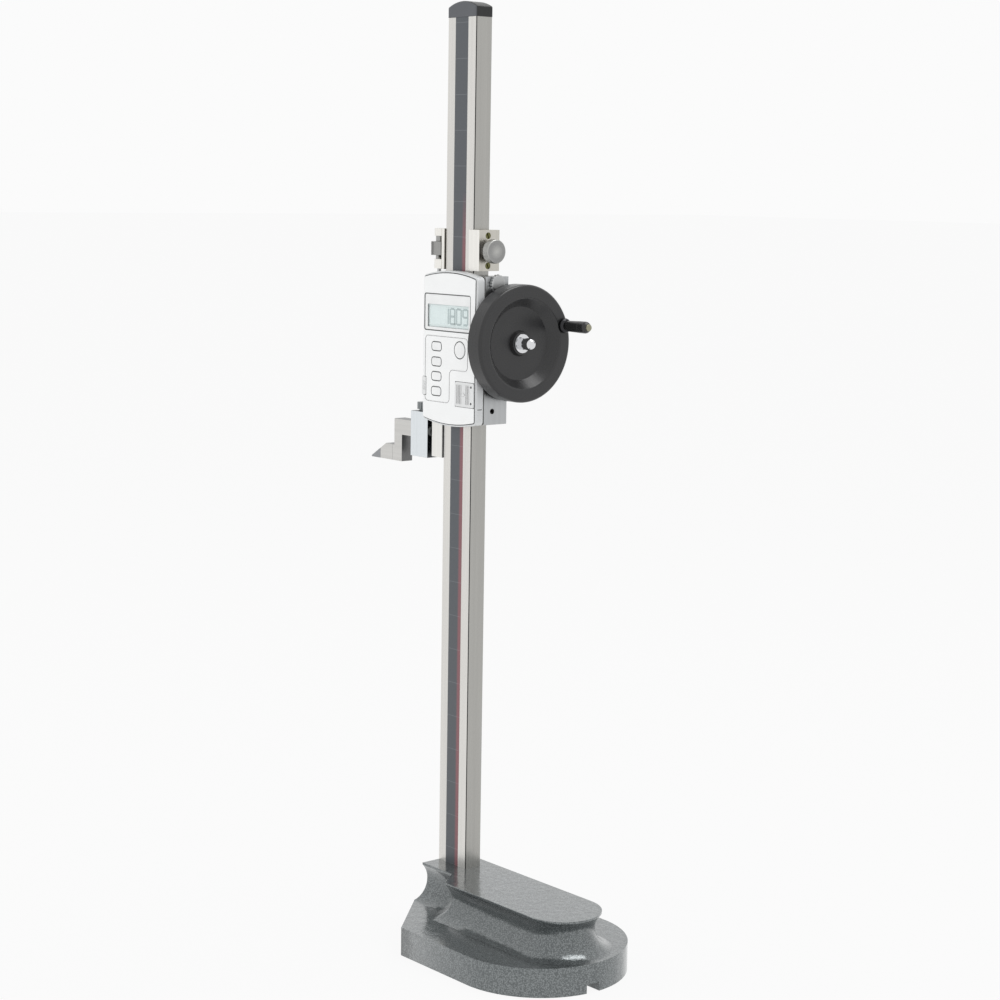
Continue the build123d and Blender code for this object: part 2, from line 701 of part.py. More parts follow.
# the engraved line round the keys
with BuildSketch() as field_line_outline:
    with BuildLine():
        Polyline(*field_corners, close=True)
    make_face()
    fillet(field_line_outline.vertices(), field_corner)
    offset(amount=-field_line, mode=Mode.SUBTRACT)

with BuildPart() as display_case:
    with BuildSketch(front_at(slider_front)):
        add(panel_outline.sketch)
        offset(amount=case_rim - joint_depth)
    extrude(amount=joint_width)
    with BuildSketch(front_at(slider_front - joint_width)):
        add(panel_outline.sketch)
        offset(amount=case_rim)
    extrude(amount=slider_front - joint_width - case_front)
    fillet(display_case.faces().sort_by(Axis.Y)[0].edges(), case_rounding)
    with BuildSketch(front_at(panel_rear)):
        add(panel_outline.sketch)
        offset(amount=panel_gap)
    extrude(amount=panel_rear - case_front, mode=Mode.SUBTRACT)
    with BuildSketch(front_at(slider_front)):
        add(panel_outline.sketch)
        offset(amount=-cavity_margin)
    extrude(amount=slider_front - case_wall_rear, mode=Mode.SUBTRACT)
    with BuildSketch(front_at(case_wall_rear)):
        add(front_openings.sketch)
    extrude(amount=case_wall_rear - panel_rear, mode=Mode.SUBTRACT)
    with BuildSketch(side_at(panel_right + case_rim)):
        with Locations((case_front + latch_slot_length / 2 + case_rounding, latch_slot_z)):
            Rectangle(latch_slot_length, latch_slot_height)
    extrude(amount=-latch_slot_depth, mode=Mode.SUBTRACT)

with BuildPart() as front_panel:
    with BuildSketch(front_at(panel_rear)):
        add(panel_outline.sketch)
        add(front_openings.sketch, mode=Mode.SUBTRACT)
    extrude(amount=panel_rear - panel_front)
    with BuildSketch(front_at(frame_seat)):
        with Locations(lcd_middle):
            RectangleRounded(lcd_right - lcd_left + 2 * lcd_gap, lcd_high - lcd_low + 2 * lcd_gap, lcd_corner)
    extrude(amount=frame_seat - panel_front, mode=Mode.SUBTRACT)
    with BuildSketch(front_at(cover_rear + cover_slide_gap)):
        with Locations(((cover_left + panel_right) / 2, cover_middle[1])):
            Rectangle(panel_right - cover_left + 2 * cover_gap, cover_high - cover_low + 2 * cover_gap)
        with Locations(port_middle):
            Rectangle(port_right - port_left + 2 * cover_gap, port_high - port_low + 2 * cover_gap)
    extrude(amount=cover_rear + cover_slide_gap - panel_front, mode=Mode.SUBTRACT)
    with BuildSketch(front_at(panel_front)):
        add(field_line_outline.sketch)
    extrude(amount=-field_depth, mode=Mode.SUBTRACT)

with BuildPart() as lcd_frame:
    with BuildSketch(front_at(frame_seat)):
        with Locations(lcd_middle):
            RectangleRounded(lcd_right - lcd_left, lcd_high - lcd_low, lcd_corner - lcd_gap)
        with Locations(glass_middle):
            Rectangle(glass_right - glass_left, glass_high - glass_low, mode=Mode.SUBTRACT)
    extrude(amount=frame_seat - frame_front)

with BuildPart() as lcd_window:
    with BuildSketch(front_at(glass_rear)):
        with Locations(glass_middle):
            Rectangle(glass_right - glass_left, glass_high - glass_low)
    extrude(amount=glass_rear - glass_front)

with BuildPart() as lcd_module:
    with BuildSketch(front_at(lcd_rear)):
        with Locations(glass_middle):
            Rectangle(glass_right - glass_left - 2 * lcd_inset, glass_high - glass_low - 2 * lcd_inset)
    extrude(amount=lcd_rear - glass_rear)

with BuildPart() as circuit_board:
    with BuildSketch(front_at(board_rear)):
        with Locations((panel_middle, (panel_low + panel_high) / 2)):
            Rectangle(panel_right - panel_left - 2 * board_margin, panel_high - panel_low - 2 * board_margin)
        with Locations((cell_x, cell_z)):
            Circle(cell_radius + 5 * cell_gap, mode=Mode.SUBTRACT)
    extrude(amount=board_rear - board_front)
    with BuildSketch(front_at(sensor_rear)):
        with Locations((0, (window_low + window_high) / 2)):
            Rectangle(window_width - 2 * sensor_margin, window_high - window_low - 2 * sensor_margin)
    extrude(amount=sensor_rear - board_rear)

with BuildPart() as coin_cell:
    with BuildSketch(front_at(cell_rear)):
        with Locations((cell_x, cell_z)):
            Circle(cell_radius)
    extrude(amount=cell_rear - cell_front)
    chamfer(coin_cell.edges().group_by(Axis.Y)[0], cell_chamfer)

port_face = cover_rear + 2 * cover_slide_gap
with BuildPart() as data_port:
    with BuildSketch(front_at(board_front)):
        with Locations((port_x, port_middle[1])):
            Rectangle(port_width, port_height)
    extrude(amount=board_front - port_face)
    with BuildSketch(front_at(port_face)):
        with Locations((port_x, port_middle[1])):
            with GridLocations(contact_width, contact_pitch, 1, 4):
                Rectangle(contact_width, contact_height)
    extrude(amount=-contact_depth, mode=Mode.SUBTRACT)

keys = []
for row in key_rows:
    with BuildPart() as key:
        with BuildSketch(front_at(flange_front)):
            with Locations((key_x, row)):
                RectangleRounded(key_width, key_height, key_corner)
        extrude(amount=flange_front - key_front)
        fillet(key.faces().sort_by(Axis.Y)[0].edges(), key_rounding)
        with BuildSketch(front_at(flange_rear)):
            with Locations((key_x, row)):
                Rectangle(key_width + 2 * key_flange, key_height + 2 * key_flange)
        extrude(amount=flange_rear - flange_front)
    keys.append(key)

with BuildPart() as power_key:
    with BuildSketch(front_at(flange_front)):
        with Locations((power_x, power_z)):
            Circle(power_radius)
    extrude(amount=flange_front - key_front)
    fillet(power_key.faces().sort_by(Axis.Y)[0].edges(), key_rounding)
    with BuildSketch(front_at(flange_rear)):
        with Locations((power_x, power_z)):
            Circle(power_radius + key_flange)
    extrude(amount=flange_rear - flange_front)

# the ribs give the thumb a grip, the arrow shows which way the cover slides, and the pips take a pin
with BuildPart() as battery_cover:
    with BuildSketch(front_at(cover_rear)):
        with Locations(cover_middle):
            RectangleRounded(cover_right - cover_left, cover_high - cover_low, cover_corner)
    extrude(amount=cover_rear - cover_front)
    with BuildSketch(front_at(cover_front)):
        for middle, count in rib_groups:
            with Locations((middle, cover_middle[1])):
                with GridLocations(rib_pitch, 1, count, 1):
                    Rectangle(rib_width, cover_high - cover_low - 2 * rib_margin)
        with Locations((arrow_x, cover_middle[1])):
            RegularPolygon(arrow_radius, 3)
    extrude(amount=rib_height)
    with BuildSketch(front_at(cover_front)):
        with Locations(*[(pip_x, z) for z in pip_rows]):
            Circle(pip_radius)
    extrude(amount=-pip_depth, mode=Mode.SUBTRACT)

with BuildPart() as port_cover:
    with BuildSketch(front_at(cover_rear)):
        with Locations(port_middle):
            RectangleRounded(port_right - port_left, port_high - port_low, port_corner)
    extrude(amount=cover_rear - cover_front)
    with BuildSketch(front_at(cover_front)):
        with Locations(port_middle):
            with GridLocations(1, port_rib_pitch, 1, port_ribs):
                Rectangle(port_right - port_left - rib_margin, rib_width)
    extrude(amount=rib_height)

# ---------------------------------------------------------------- pinion, hand wheel and handle
handle_y, handle_z = 49.3, 456.0
shaft_left = barrel_left + 0.5
hub_back, hub_front = 36.5, 47.5
hub_radius, hub_foot_radius, hub_back_radius = 8.2, 9.4, 10.0
disc_radius, disc_x, web = 26.5, 44.4, 3.0
rim_inner, rim_wall, rim_draft = 33.0, 3.6, 0.8
rim_rounding = 2.2
washer_radius, washer_front = 6.9, 48.6
stud_radius = 2.5
nut_across, nut_front = 8.0, 52.6
dome_radius, dome_end = 4.35, 60.5
thread_end = dome_end - 3.0
boss_radius, boss_front = 5.2, 55.6
neck_radius, neck_front = 3.0, 56.8
journal_radius, journal_end, journal_gap = 1.5, 74.0, 0.3
grip_back, grip_joint, grip_end = 57.0, 70.5, 79.2
grip_back_radius, grip_front_radius = 3.9, 4.3


def pinion_outline():
    """The pinion's outline about its own axis: involute flanks drawn through three radii."""
    base_radius = pitch_radius * cos(pressure_angle)
    tip_radius = pitch_radius + rack_addendum
    root_radius = pitch_radius - 1.25 * module_mm
    half_pitch = pi / (2 * pinion_teeth) - tooth_thinning / pitch_radius
    flank = []
    for radius in (base_radius, (base_radius + tip_radius) / 2, tip_radius):
        slant = acos(min(1, base_radius / radius))
        flank.append((radius, half_pitch + tan(pressure_angle) - pressure_angle - tan(slant) + slant))
    points = []
    for tooth in range(pinion_teeth):
        middle = pi + 2 * pi * tooth / pinion_teeth
        rising = [(root_radius, flank[0][1])] + flank
        half_tooth = [(radius, -half) for radius, half in rising] + rising[::-1]
        points += [(radius * cos(middle + turn), radius * sin(middle + turn)) for radius, turn in half_tooth]
    return points


with BuildPart() as drive_pinion:
    with BuildSketch(Plane((pinion_left, pinion_y, wheel_z), x_dir=(0, 1, 0), z_dir=(1, 0, 0))):
        with BuildLine():
            Polyline(*pinion_outline(), close=True)
        make_face()
        Circle(shaft_radius, mode=Mode.SUBTRACT)
    extrude(amount=pinion_right - pinion_left)

with BuildPart() as pinion_shaft:
    with BuildSketch(side_at(shaft_left)):
        with Locations((pinion_y, wheel_z)):
            Circle(shaft_radius)
    extrude(amount=hub_front - shaft_left)
    with BuildSketch(side_at(hub_front)):
        with Locations((pinion_y, wheel_z)):
            Circle(stud_radius)
    extrude(amount=thread_end - hub_front)

# half section of the wheel: hub, thin disc, sloping dish and a hollow rim with draft inside
wheel_profile = [
    (hub_back, shaft_radius),
    (hub_front, shaft_radius),
    (hub_front, hub_radius),
    (disc_x, hub_foot_radius),
    (disc_x, disc_radius),
    (wheel_front, rim_inner),
    (wheel_front, wheel_radius),
    (wheel_back, wheel_radius),
    (wheel_back, wheel_radius - rim_wall),
    (wheel_front - rim_wall, wheel_radius - rim_wall - rim_draft),
    (wheel_front - rim_wall, rim_inner + 2 * rim_draft),
    (disc_x - web, disc_radius + 2 * rim_draft),
    (disc_x - web, hub_back_radius),
    (hub_back, hub_back_radius),
]
with BuildPart() as handwheel:
    with BuildSketch(axle_at(pinion_y, wheel_z)):
        with BuildLine():
            Polyline(*wheel_profile, close=True)
        make_face()
    revolve(axis=axle(pinion_y, wheel_z))
    fillet(handwheel.edges().group_by(Axis.X)[-1], rim_rounding)
    fillet(handwheel.edges().sort_by(SortBy.LENGTH)[-1], rim_rounding / 2)

with BuildPart() as wheel_washer:
    with BuildSketch(side_at(hub_front)):
        with Locations((pinion_y, wheel_z)):
            Circle(washer_radius)
            Circle(stud_radius, mode=Mode.SUBTRACT)
    extrude(amount=washer_front - hub_front)

with BuildPart() as dome_nut:
    with BuildSketch(side_at(washer_front)):
        with Locations((pinion_y, wheel_z)):
            RegularPolygon(nut_across / 2, 6, major_radius=False)
    extrude(amount=nut_front - washer_front)
    with BuildSketch(axle_at(pinion_y, wheel_z)):
        with BuildLine():
            shoulder = (dome_end - dome_radius, dome_radius)
            half_way = (dome_end - dome_radius * (1 - sqrt(0.5)), dome_radius * sqrt(0.5))
            dome = ThreePointArc(shoulder, half_way, (dome_end, 0))
            Polyline(dome @ 1, (nut_front - 1, 0), (nut_front - 1, dome_radius), dome @ 0)
        make_face()
    revolve(axis=axle(pinion_y, wheel_z))
    with BuildSketch(side_at(washer_front)):
        with Locations((pinion_y, wheel_z)):
            Circle(stud_radius)
    extrude(amount=thread_end - washer_front, mode=Mode.SUBTRACT)

with BuildPart() as handle_boss:
    with BuildSketch(axle_at(handle_y, handle_z)):
        with BuildLine():
            brow = ThreePointArc(
                (wheel_front, boss_radius),
                (boss_front - 0.7, boss_radius - 0.7),
                (boss_front, neck_radius),
            )
            Polyline(
                brow @ 1,
                (neck_front, neck_radius),
                (neck_front, journal_radius),
                (journal_end, journal_radius),
                (journal_end, 0),
                (wheel_front, 0),
                brow @ 0,
            )
        make_face()
    revolve(axis=axle(handle_y, handle_z))

bore_radius = journal_radius + screw_gap
with BuildPart() as handle_grip:
    with BuildSketch(axle_at(handle_y, handle_z)):
        with BuildLine():
            Polyline(
                (grip_back, bore_radius),
                (grip_back, grip_back_radius),
                (grip_joint, grip_front_radius),
                (grip_joint, bore_radius),
                close=True,
            )
        make_face()
    revolve(axis=axle(handle_y, handle_z))

with BuildPart() as grip_cap:
    with BuildSketch(axle_at(handle_y, handle_z)):
        with BuildLine():
            cap_nose = ThreePointArc(
                (grip_end, 0),
                (grip_end - 1.3, grip_front_radius - 1.2),
                (grip_end - 3.8, grip_front_radius),
            )
            Polyline(
                cap_nose @ 1,
                (grip_joint, grip_front_radius),
                (grip_joint, bore_radius),
                (journal_end + journal_gap, bore_radius),
                (journal_end + journal_gap, 0),
                cap_nose @ 0,
            )
        make_face()
    revolve(axis=axle(handle_y, handle_z))

# ---------------------------------------------------------------- fine adjustment carriage
carriage_gib_thickness = 1.6
carriage_inner = gib_left + carriage_gib_thickness
lip_left = 12.0
mouth_depth = 3.0           # the block is open at the front between its two lips
lug_half_depth = 3.7
lower_lug = (495.2, 502.1)
upper_lug = (519.0, 524.5)
nut_radius, nut_ridges, nut_ridge_depth = 6.1, 36, 0.4
collar_radius, collar_gap = 2.7, 0.1
nut_low, nut_high = 505.0, 514.9
spindle_top, spindle_chamfer = 524.0, 0.4
clamp_knob_y, clamp_knob_z = -0.3, 509.3
clamp_knob_radius, clamp_knob_back, clamp_knob_face = 8.65, 28.0, 34.0
clamp_knob_ridges, clamp_knob_ridge_depth, clamp_knob_chamfer = 48, 0.35, 0.6
clamp_collar_radius, clamp_stem_radius = 5.0, 2.5
brass_screw_radius, brass_screw_sink = 2.4, 0.3
brass_screw_places = [(-0.2, 498.8), (-0.2, 520.3)]
slot_width, slot_length, slot_depth, slot_turn = 0.8, 6.0, 1.0, 25

with BuildPart() as carriage_block:
    with BuildSketch(Plane.XY.offset(carriage_low)):
        with Locations(((carriage_left + carriage_right) / 2, (carriage_front + carriage_rear) / 2)):
            Rectangle(carriage_right - carriage_left, carriage_rear - carriage_front)
        with Locations(((channel_left + carriage_inner) / 2, 0)):
            Rectangle(carriage_inner - channel_left, 2 * channel_rear, mode=Mode.SUBTRACT)
        with Locations(((channel_left + lip_left) / 2, carriage_front)):
            Rectangle(lip_left - channel_left, 2 * mouth_depth, mode=Mode.SUBTRACT)
    extrude(amount=carriage_high - carriage_low)
    for low, high in (lower_lug, upper_lug):
        with BuildSketch(Plane.XY.offset(low)):
            with Locations(((spindle_x + carriage_left) / 2, spindle_y)):
                Rectangle(carriage_left - spindle_x, 2 * lug_half_depth)
            with Locations((spindle_x, spindle_y)):
                Circle(lug_half_depth)
        extrude(amount=high - low)
        with BuildSketch(Plane.XY.offset(low)):
            with Locations((spindle_x, spindle_y)):
                Circle(spindle_radius + slide_gap)
        extrude(amount=high - low, mode=Mode.SUBTRACT)
    with BuildSketch(side_at(carriage_right)):
        with Locations(*brass_screw_places):
            Circle(brass_screw_radius)
        with Locations((clamp_knob_y, clamp_knob_z)):
            Circle(clamp_stem_radius + screw_gap)
    extrude(amount=carriage_inner - carriage_right, mode=Mode.SUBTRACT)

with BuildPart() as carriage_gib:
    with BuildSketch(side_at(gib_left)):
        with Locations((0, (carriage_low + carriage_high) / 2)):
            Rectangle(beam_depth, carriage_high - carriage_low - 2 * gib_inset)
    extrude(amount=carriage_gib_thickness)

with BuildPart() as carriage_gib_screws:
    with BuildSketch(side_at(carriage_inner)):
        with Locations(*brass_screw_places):
            Circle(brass_screw_radius)
    extrude(amount=carriage_right - brass_screw_sink - carriage_inner)
    with BuildSketch(side_at(carriage_right - brass_screw_sink)):
        with Locations(*brass_screw_places):
            Rectangle(slot_width, slot_length, rotation=slot_turn)
    extrude(amount=-slot_depth, mode=Mode.SUBTRACT)

with BuildPart() as fine_feed_spindle:
    with BuildSketch(Plane((spindle_x, spindle_y, spindle_foot))):
        Circle(spindle_radius)
    extrude(amount=spindle_top - spindle_foot)
    chamfer(fine_feed_spindle.edges().group_by(Axis.Z)[-1], spindle_chamfer)

with BuildPart() as fine_feed_nut:
    with BuildSketch(Plane((spindle_x, spindle_y, lower_lug[1] + collar_gap))):
        Circle(collar_radius)
    extrude(amount=upper_lug[0] - lower_lug[1] - 2 * collar_gap)
    with BuildSketch(Plane((spindle_x, spindle_y, nut_low))):
        with BuildLine():
            Polyline(*knurl(nut_radius, nut_ridges, nut_ridge_depth), close=True)
        make_face()
    extrude(amount=nut_high - nut_low)
    with BuildSketch(Plane((spindle_x, spindle_y, lower_lug[1]))):
        Circle(spindle_radius + screw_gap)
    extrude(amount=upper_lug[0] - lower_lug[1], mode=Mode.SUBTRACT)

with BuildPart() as carriage_clamp_knob:
    with BuildSketch(Plane((clamp_knob_back, clamp_knob_y, clamp_knob_z), x_dir=(0, 1, 0), z_dir=(1, 0, 0))):
        with BuildLine():
            Polyline(*knurl(clamp_knob_radius, clamp_knob_ridges, clamp_knob_ridge_depth), close=True)
        make_face()
    extrude(amount=clamp_knob_face - clamp_knob_back)
    with BuildSketch(axle_at(clamp_knob_y, clamp_knob_z)):
        with BuildLine():
            Polyline(
                (clamp_knob_back, 0),
                (clamp_knob_face, 0),
                (clamp_knob_face, clamp_knob_radius - clamp_knob_chamfer),
                (clamp_knob_face - clamp_knob_chamfer, clamp_knob_radius),
                (clamp_knob_back + clamp_knob_chamfer, clamp_knob_radius),
                (clamp_knob_back, clamp_knob_radius - clamp_knob_chamfer),
                close=True,
            )
        make_face()
    revolve(axis=axle(clamp_knob_y, clamp_knob_z), mode=Mode.INTERSECT)
    with BuildSketch(side_at(carriage_right + stem_gap)):
        with Locations((clamp_knob_y, clamp_knob_z)):
            Circle(clamp_collar_radius)
    extrude(amount=clamp_knob_back - carriage_right - stem_gap)
    with BuildSketch(side_at(carriage_inner + stem_gap)):
        with Locations((clamp_knob_y, clamp_knob_z)):
            Circle(clamp_stem_radius)
    extrude(amount=carriage_right - carriage_inner)

# ---------------------------------------------------------------- export
parts_list = {
    "base_casting": base_casting,
    "beam": beam,
    "graduated_strip": graduated_strip,
    "feed_rack": feed_rack,
    "top_cap": top_cap,
    "beam_screws": beam_screws,
    "slider_frame": slider_frame,
    "back_plate": back_plate,
    "back_plate_screws": back_plate_screws,
    "shaft_bushes": shaft_bushes,
    "slider_gib": slider_gib,
    "gib_screws": gib_screws,
    "lock_knob": lock_knob,
    "measuring_jaw": measuring_jaw,
    "jaw_screw": jaw_screw,
    "scriber_arm": scriber_arm,
    "scriber_blade": scriber_blade,
    "scriber_tip": scriber_tip,
    "scriber_clamp_screw": scriber_clamp_screw,
    "display_case": display_case,
    "front_panel": front_panel,
    "lcd_frame": lcd_frame,
    "lcd_window": lcd_window,
    "lcd_module": lcd_module,
    "circuit_board": circuit_board,
    "coin_cell": coin_cell,
    "data_port": data_port,
    "power_key": power_key,
    "battery_cover": battery_cover,
    "port_cover": port_cover,
    "drive_pinion": drive_pinion,
    "pinion_shaft": pinion_shaft,
    "handwheel": handwheel,
    "wheel_washer": wheel_washer,
    "dome_nut": dome_nut,
    "handle_boss": handle_boss,
    "handle_grip": handle_grip,
    "grip_cap": grip_cap,
    "carriage_block": carriage_block,
    "carriage_gib": carriage_gib,
    "carriage_gib_screws": carriage_gib_screws,
    "fine_feed_spindle": fine_feed_spindle,
    "fine_feed_nut": fine_feed_nut,
    "carriage_clamp_knob": carriage_clamp_knob,
}
for number, key in enumerate(keys, start=1):
    parts_list[f"key_{number}"] = key
os.makedirs("parts", exist_ok=True)
for name, piece in parts_list.items():
    piece.part.label = name
    export_step(piece.part, f"parts/{name}.step")
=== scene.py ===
"""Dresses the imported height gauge: enamel, ground steel, printed film, mouldings and knurls."""

import json
import math

import bpy
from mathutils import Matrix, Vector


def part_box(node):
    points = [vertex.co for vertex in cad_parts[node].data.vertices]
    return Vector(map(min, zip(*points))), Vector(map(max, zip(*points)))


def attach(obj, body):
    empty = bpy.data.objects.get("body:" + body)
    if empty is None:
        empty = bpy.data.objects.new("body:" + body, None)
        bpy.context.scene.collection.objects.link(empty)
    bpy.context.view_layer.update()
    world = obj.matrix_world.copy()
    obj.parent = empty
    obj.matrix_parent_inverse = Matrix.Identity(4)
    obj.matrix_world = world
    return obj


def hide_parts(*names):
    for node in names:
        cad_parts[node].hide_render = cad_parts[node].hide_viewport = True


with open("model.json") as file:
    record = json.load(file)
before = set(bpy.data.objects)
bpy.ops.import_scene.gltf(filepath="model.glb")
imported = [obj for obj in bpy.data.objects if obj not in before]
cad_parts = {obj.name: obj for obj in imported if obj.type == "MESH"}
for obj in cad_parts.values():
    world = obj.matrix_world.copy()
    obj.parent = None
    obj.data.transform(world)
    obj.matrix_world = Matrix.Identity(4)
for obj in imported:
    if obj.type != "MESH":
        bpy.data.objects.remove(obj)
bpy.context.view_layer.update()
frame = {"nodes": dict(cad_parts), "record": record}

bl_info = {
    "name": "Digital Height Gauge",
    "version": (1, 0, 0),
    "blender": (4, 5, 0),
    "location": "View3D > Sidebar > Gauge",
    "description": "Dresses a digital height gauge and sets it on a studio floor",
    "category": "Object",
}

MM = 0.001
BODY_OF = {
    node: body
    for body, nodes in frame["record"]["behaviour"]["bodies"].items()
    for node in nodes
}
KEYS = ("key_1", "key_2", "key_3", "key_4")


def middle(node):
    """The middle of a CAD node's box, in millimetres."""
    low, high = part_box(node)
    return (low + high) / 2 / MM


# ---------------------------------------------------------------- settings

def srgb(hex_value):
    """An sRGB hex colour as the linear RGBA that a shader takes."""
    channels = [int(hex_value[place:place + 2], 16) / 255 for place in (1, 3, 5)]
    straight = [c / 12.92 if c <= 0.04045 else ((c + 0.055) / 1.055) ** 2.4 for c in channels]
    return (*straight, 1.0)


def colour(name, hex_value, description):
    """A colour property whose default is an sRGB hex value."""
    return bpy.props.FloatVectorProperty(
        name=name, description=description, subtype="COLOR", size=4, min=0, max=1,
        default=srgb(hex_value),
    )


class GaugeColours(bpy.types.PropertyGroup):
    enamel: colour("Enamel", "#868B8C", "Hammertone enamel of the base")
    enamel_dark: colour("Enamel flow lines", "#5C6162", "Enamel between the hammered cells")
    # painted light: the next two colours are one steel, the first a painted lit tint for the beam's
    # front faces, the second a painted shade tint for its sides
    painted_lit_front: colour("Painted_lit steel", "#DDDBD7", "Painted_lit front of the beam")
    ground: colour("Painted_shade steel", "#AEADA9", "Painted_shade sides of the beam")
    film: colour("Scale film", "#505459", "Printed film in the beam's groove")
    film_red: colour("Scale red", "#84575C", "Red band along the film's edge")
    lacquer: colour("Silver lacquer", "#D9DBDC", "Display case")
    keypad: colour("Keypad film", "#F8F9F9", "Front of the display")
    phenolic: colour("Phenolic", "#29292A", "Hand wheel and grip")


class GaugeSizes(bpy.types.PropertyGroup):
    mark_spacing: bpy.props.FloatProperty(
        name="Mark spacing", description="Distance between the long marks on the film",
        default=0.0254, min=0.001, unit="LENGTH",
    )
    red_band_top: bpy.props.FloatProperty(
        name="Red band top", description="Height at which the red band starts",
        default=0.552, min=0.05, unit="LENGTH",
    )
    digit_height: bpy.props.FloatProperty(
        name="Digit height", description="Height of the figures in the window",
        default=0.0126, min=0.001, unit="LENGTH",
    )


def chosen(name):
    """One of the panel's colours, as a shader takes it."""
    return tuple(getattr(bpy.context.scene.gauge_colours, name))


# ---------------------------------------------------------------- shader tools

def new_material(name):
    """A node material with nothing but its shader and its output."""
    material = bpy.data.materials.new(name)
    material.use_nodes = True
    return material


def feed(owner, socket, value):
    """Gives a socket a value, or links another socket or a node's first output to it."""
    if isinstance(value, bpy.types.Node):
        value = value.outputs[0]
    if isinstance(value, bpy.types.NodeSocket):
        owner.node_tree.links.new(value, socket)
    else:
        socket.default_value = value


def add_node(owner, kind, inputs=(), **settings):
    """Adds a node to a material or world; its inputs come by name or number, or in socket order."""
    node = owner.node_tree.nodes.new(kind)
    for name, value in settings.items():
        setattr(node, name, value)
    for name, value in inputs.items() if isinstance(inputs, dict) else enumerate(inputs):
        feed(owner, node.inputs[name], value)
    return node


def set_shader(material, **inputs):
    """Feeds the Principled shader; an underscore in a name stands for a space."""
    shader = material.node_tree.nodes["Principled BSDF"]
    for name, value in inputs.items():
        feed(material, shader.inputs[name.replace("_", " ")], value)


def object_place(material, **mapping):
    """Object coordinates, moved or stretched by a Mapping node."""
    place = add_node(material, "ShaderNodeTexCoord").outputs["Object"]
    return add_node(material, "ShaderNodeMapping", {"Vector": place, **mapping})


def facing_tints(material, front, side, corner=None):
    """Painted light: a painted lit tint on faces towards the front and a painted shade tint on the
    sides, with a painted dark reflection on the beam's outer front chamfered faces.
    """
    place = add_node(material, "ShaderNodeTexCoord")
    normal = add_node(material, "ShaderNodeSeparateXYZ", (place.outputs["Normal"],))
    toward = add_node(material, "ShaderNodeMath", (normal.outputs["Y"], -1.0), operation="MULTIPLY")
    frontal = add_node(material, "ShaderNodeMapRange", (toward, 0.5, 0.9))
    tint = add_node(
        material, "ShaderNodeMix", {0: frontal, 6: side, 7: front}, data_type="RGBA",
    ).outputs[2]
    if corner is None:
        return tint
    # painted dark reflection on the 45-degree chamfered faces whose place is beyond the scale's
    # groove
    slanting = add_node(material, "ShaderNodeMath", (toward, 0.71, 0.15), operation="COMPARE")
    spot = add_node(material, "ShaderNodeSeparateXYZ", (place.outputs["Object"],))
    across = add_node(material, "ShaderNodeMath", (spot.outputs["X"],), operation="ABSOLUTE")
    outer = add_node(material, "ShaderNodeMath", (across, 14 * MM), operation="GREATER_THAN")
    painted_dark_chamfer = add_node(material, "ShaderNodeMath", (slanting, outer), operation="MULTIPLY")
    return add_node(
        material, "ShaderNodeMix", {0: painted_dark_chamfer, 6: tint, 7: corner}, data_type="RGBA",
    ).outputs[2]


def seen_ray(owner):
    """1 on rays that show a thing to the camera, straight, mirrored or through a window."""
    path = add_node(owner, "ShaderNodeLightPath")
    straight = (path.outputs["Is Camera Ray"], path.outputs["Is Glossy Ray"])
    seen = add_node(owner, "ShaderNodeMath", straight, operation="MAXIMUM")
    through = path.outputs["Is Transmission Ray"]
    return add_node(owner, "ShaderNodeMath", (seen, through), operation="MAXIMUM")


# ---------------------------------------------------------------- materials

def hammertone_enamel():
    """Stoved hammertone enamel on cast iron.

    Hammered cells 1 mm across speckle it, and under its gloss the aluminium flake mirrors like
    dull metal.
    """
    material = new_material("hammertone_enamel")
    place = object_place(material)
    cells = add_node(
        material, "ShaderNodeTexVoronoi",
        {"Vector": place, "Scale": 1 / (1.0 * MM), "Smoothness": 0.5}, feature="SMOOTH_F1",
    )
    flow = add_node(
        material, "ShaderNodeTexNoise",
        {"Vector": place, "Scale": 1 / (0.9 * MM), "Detail": 2.0, "Distortion": 0.8},
    )
    marks = add_node(material, "ShaderNodeMath", (cells, flow), operation="ADD")
    speckle = add_node(material, "ShaderNodeMapRange", (marks, 0.72, 1.12))
    shade = add_node(
        material, "ShaderNodeMix", {0: speckle, 6: chosen("enamel"), 7: chosen("enamel_dark")},
        data_type="RGBA",
    )
    # painted shade: the enamel is painted darker at the foot and under the lip of the coves, where
    # the hollows are shaded
    openness = add_node(
        material, "ShaderNodeAmbientOcclusion", {"Distance": 24 * MM}, samples=8, only_local=True,
    )
    painted_cove_shade = add_node(
        material, "ShaderNodeMapRange", (openness.outputs["AO"], 0.50, 0.92, 0.55, 0.0),
    )
    tone = add_node(
        material, "ShaderNodeMix", {0: painted_cove_shade, 6: shade.outputs[2], 7: srgb("#2F3435")},
        data_type="RGBA",
    )
    # the wet coat sagged into waves 6 mm across, which break up what the gloss mirrors
    waves = add_node(
        material, "ShaderNodeTexNoise", {"Vector": place, "Scale": 1 / (6 * MM), "Detail": 1.0},
    )
    sagged = add_node(
        material, "ShaderNodeBump", {"Height": waves, "Strength": 1.0, "Distance": 0.35 * MM},
    )
    hammered = add_node(
        material, "ShaderNodeBump",
        {"Height": cells, "Strength": 0.14, "Distance": 0.12 * MM, "Normal": sagged},
    )
    set_shader(
        material,
        Base_Color=tone.outputs[2],
        Metallic=0.65,
        Roughness=add_node(material, "ShaderNodeMapRange", (flow, 0.3, 0.7, 0.15, 0.24)),
        Normal=hammered,
        Coat_Weight=0.7,
        Coat_Roughness=0.13,
    )
    return material


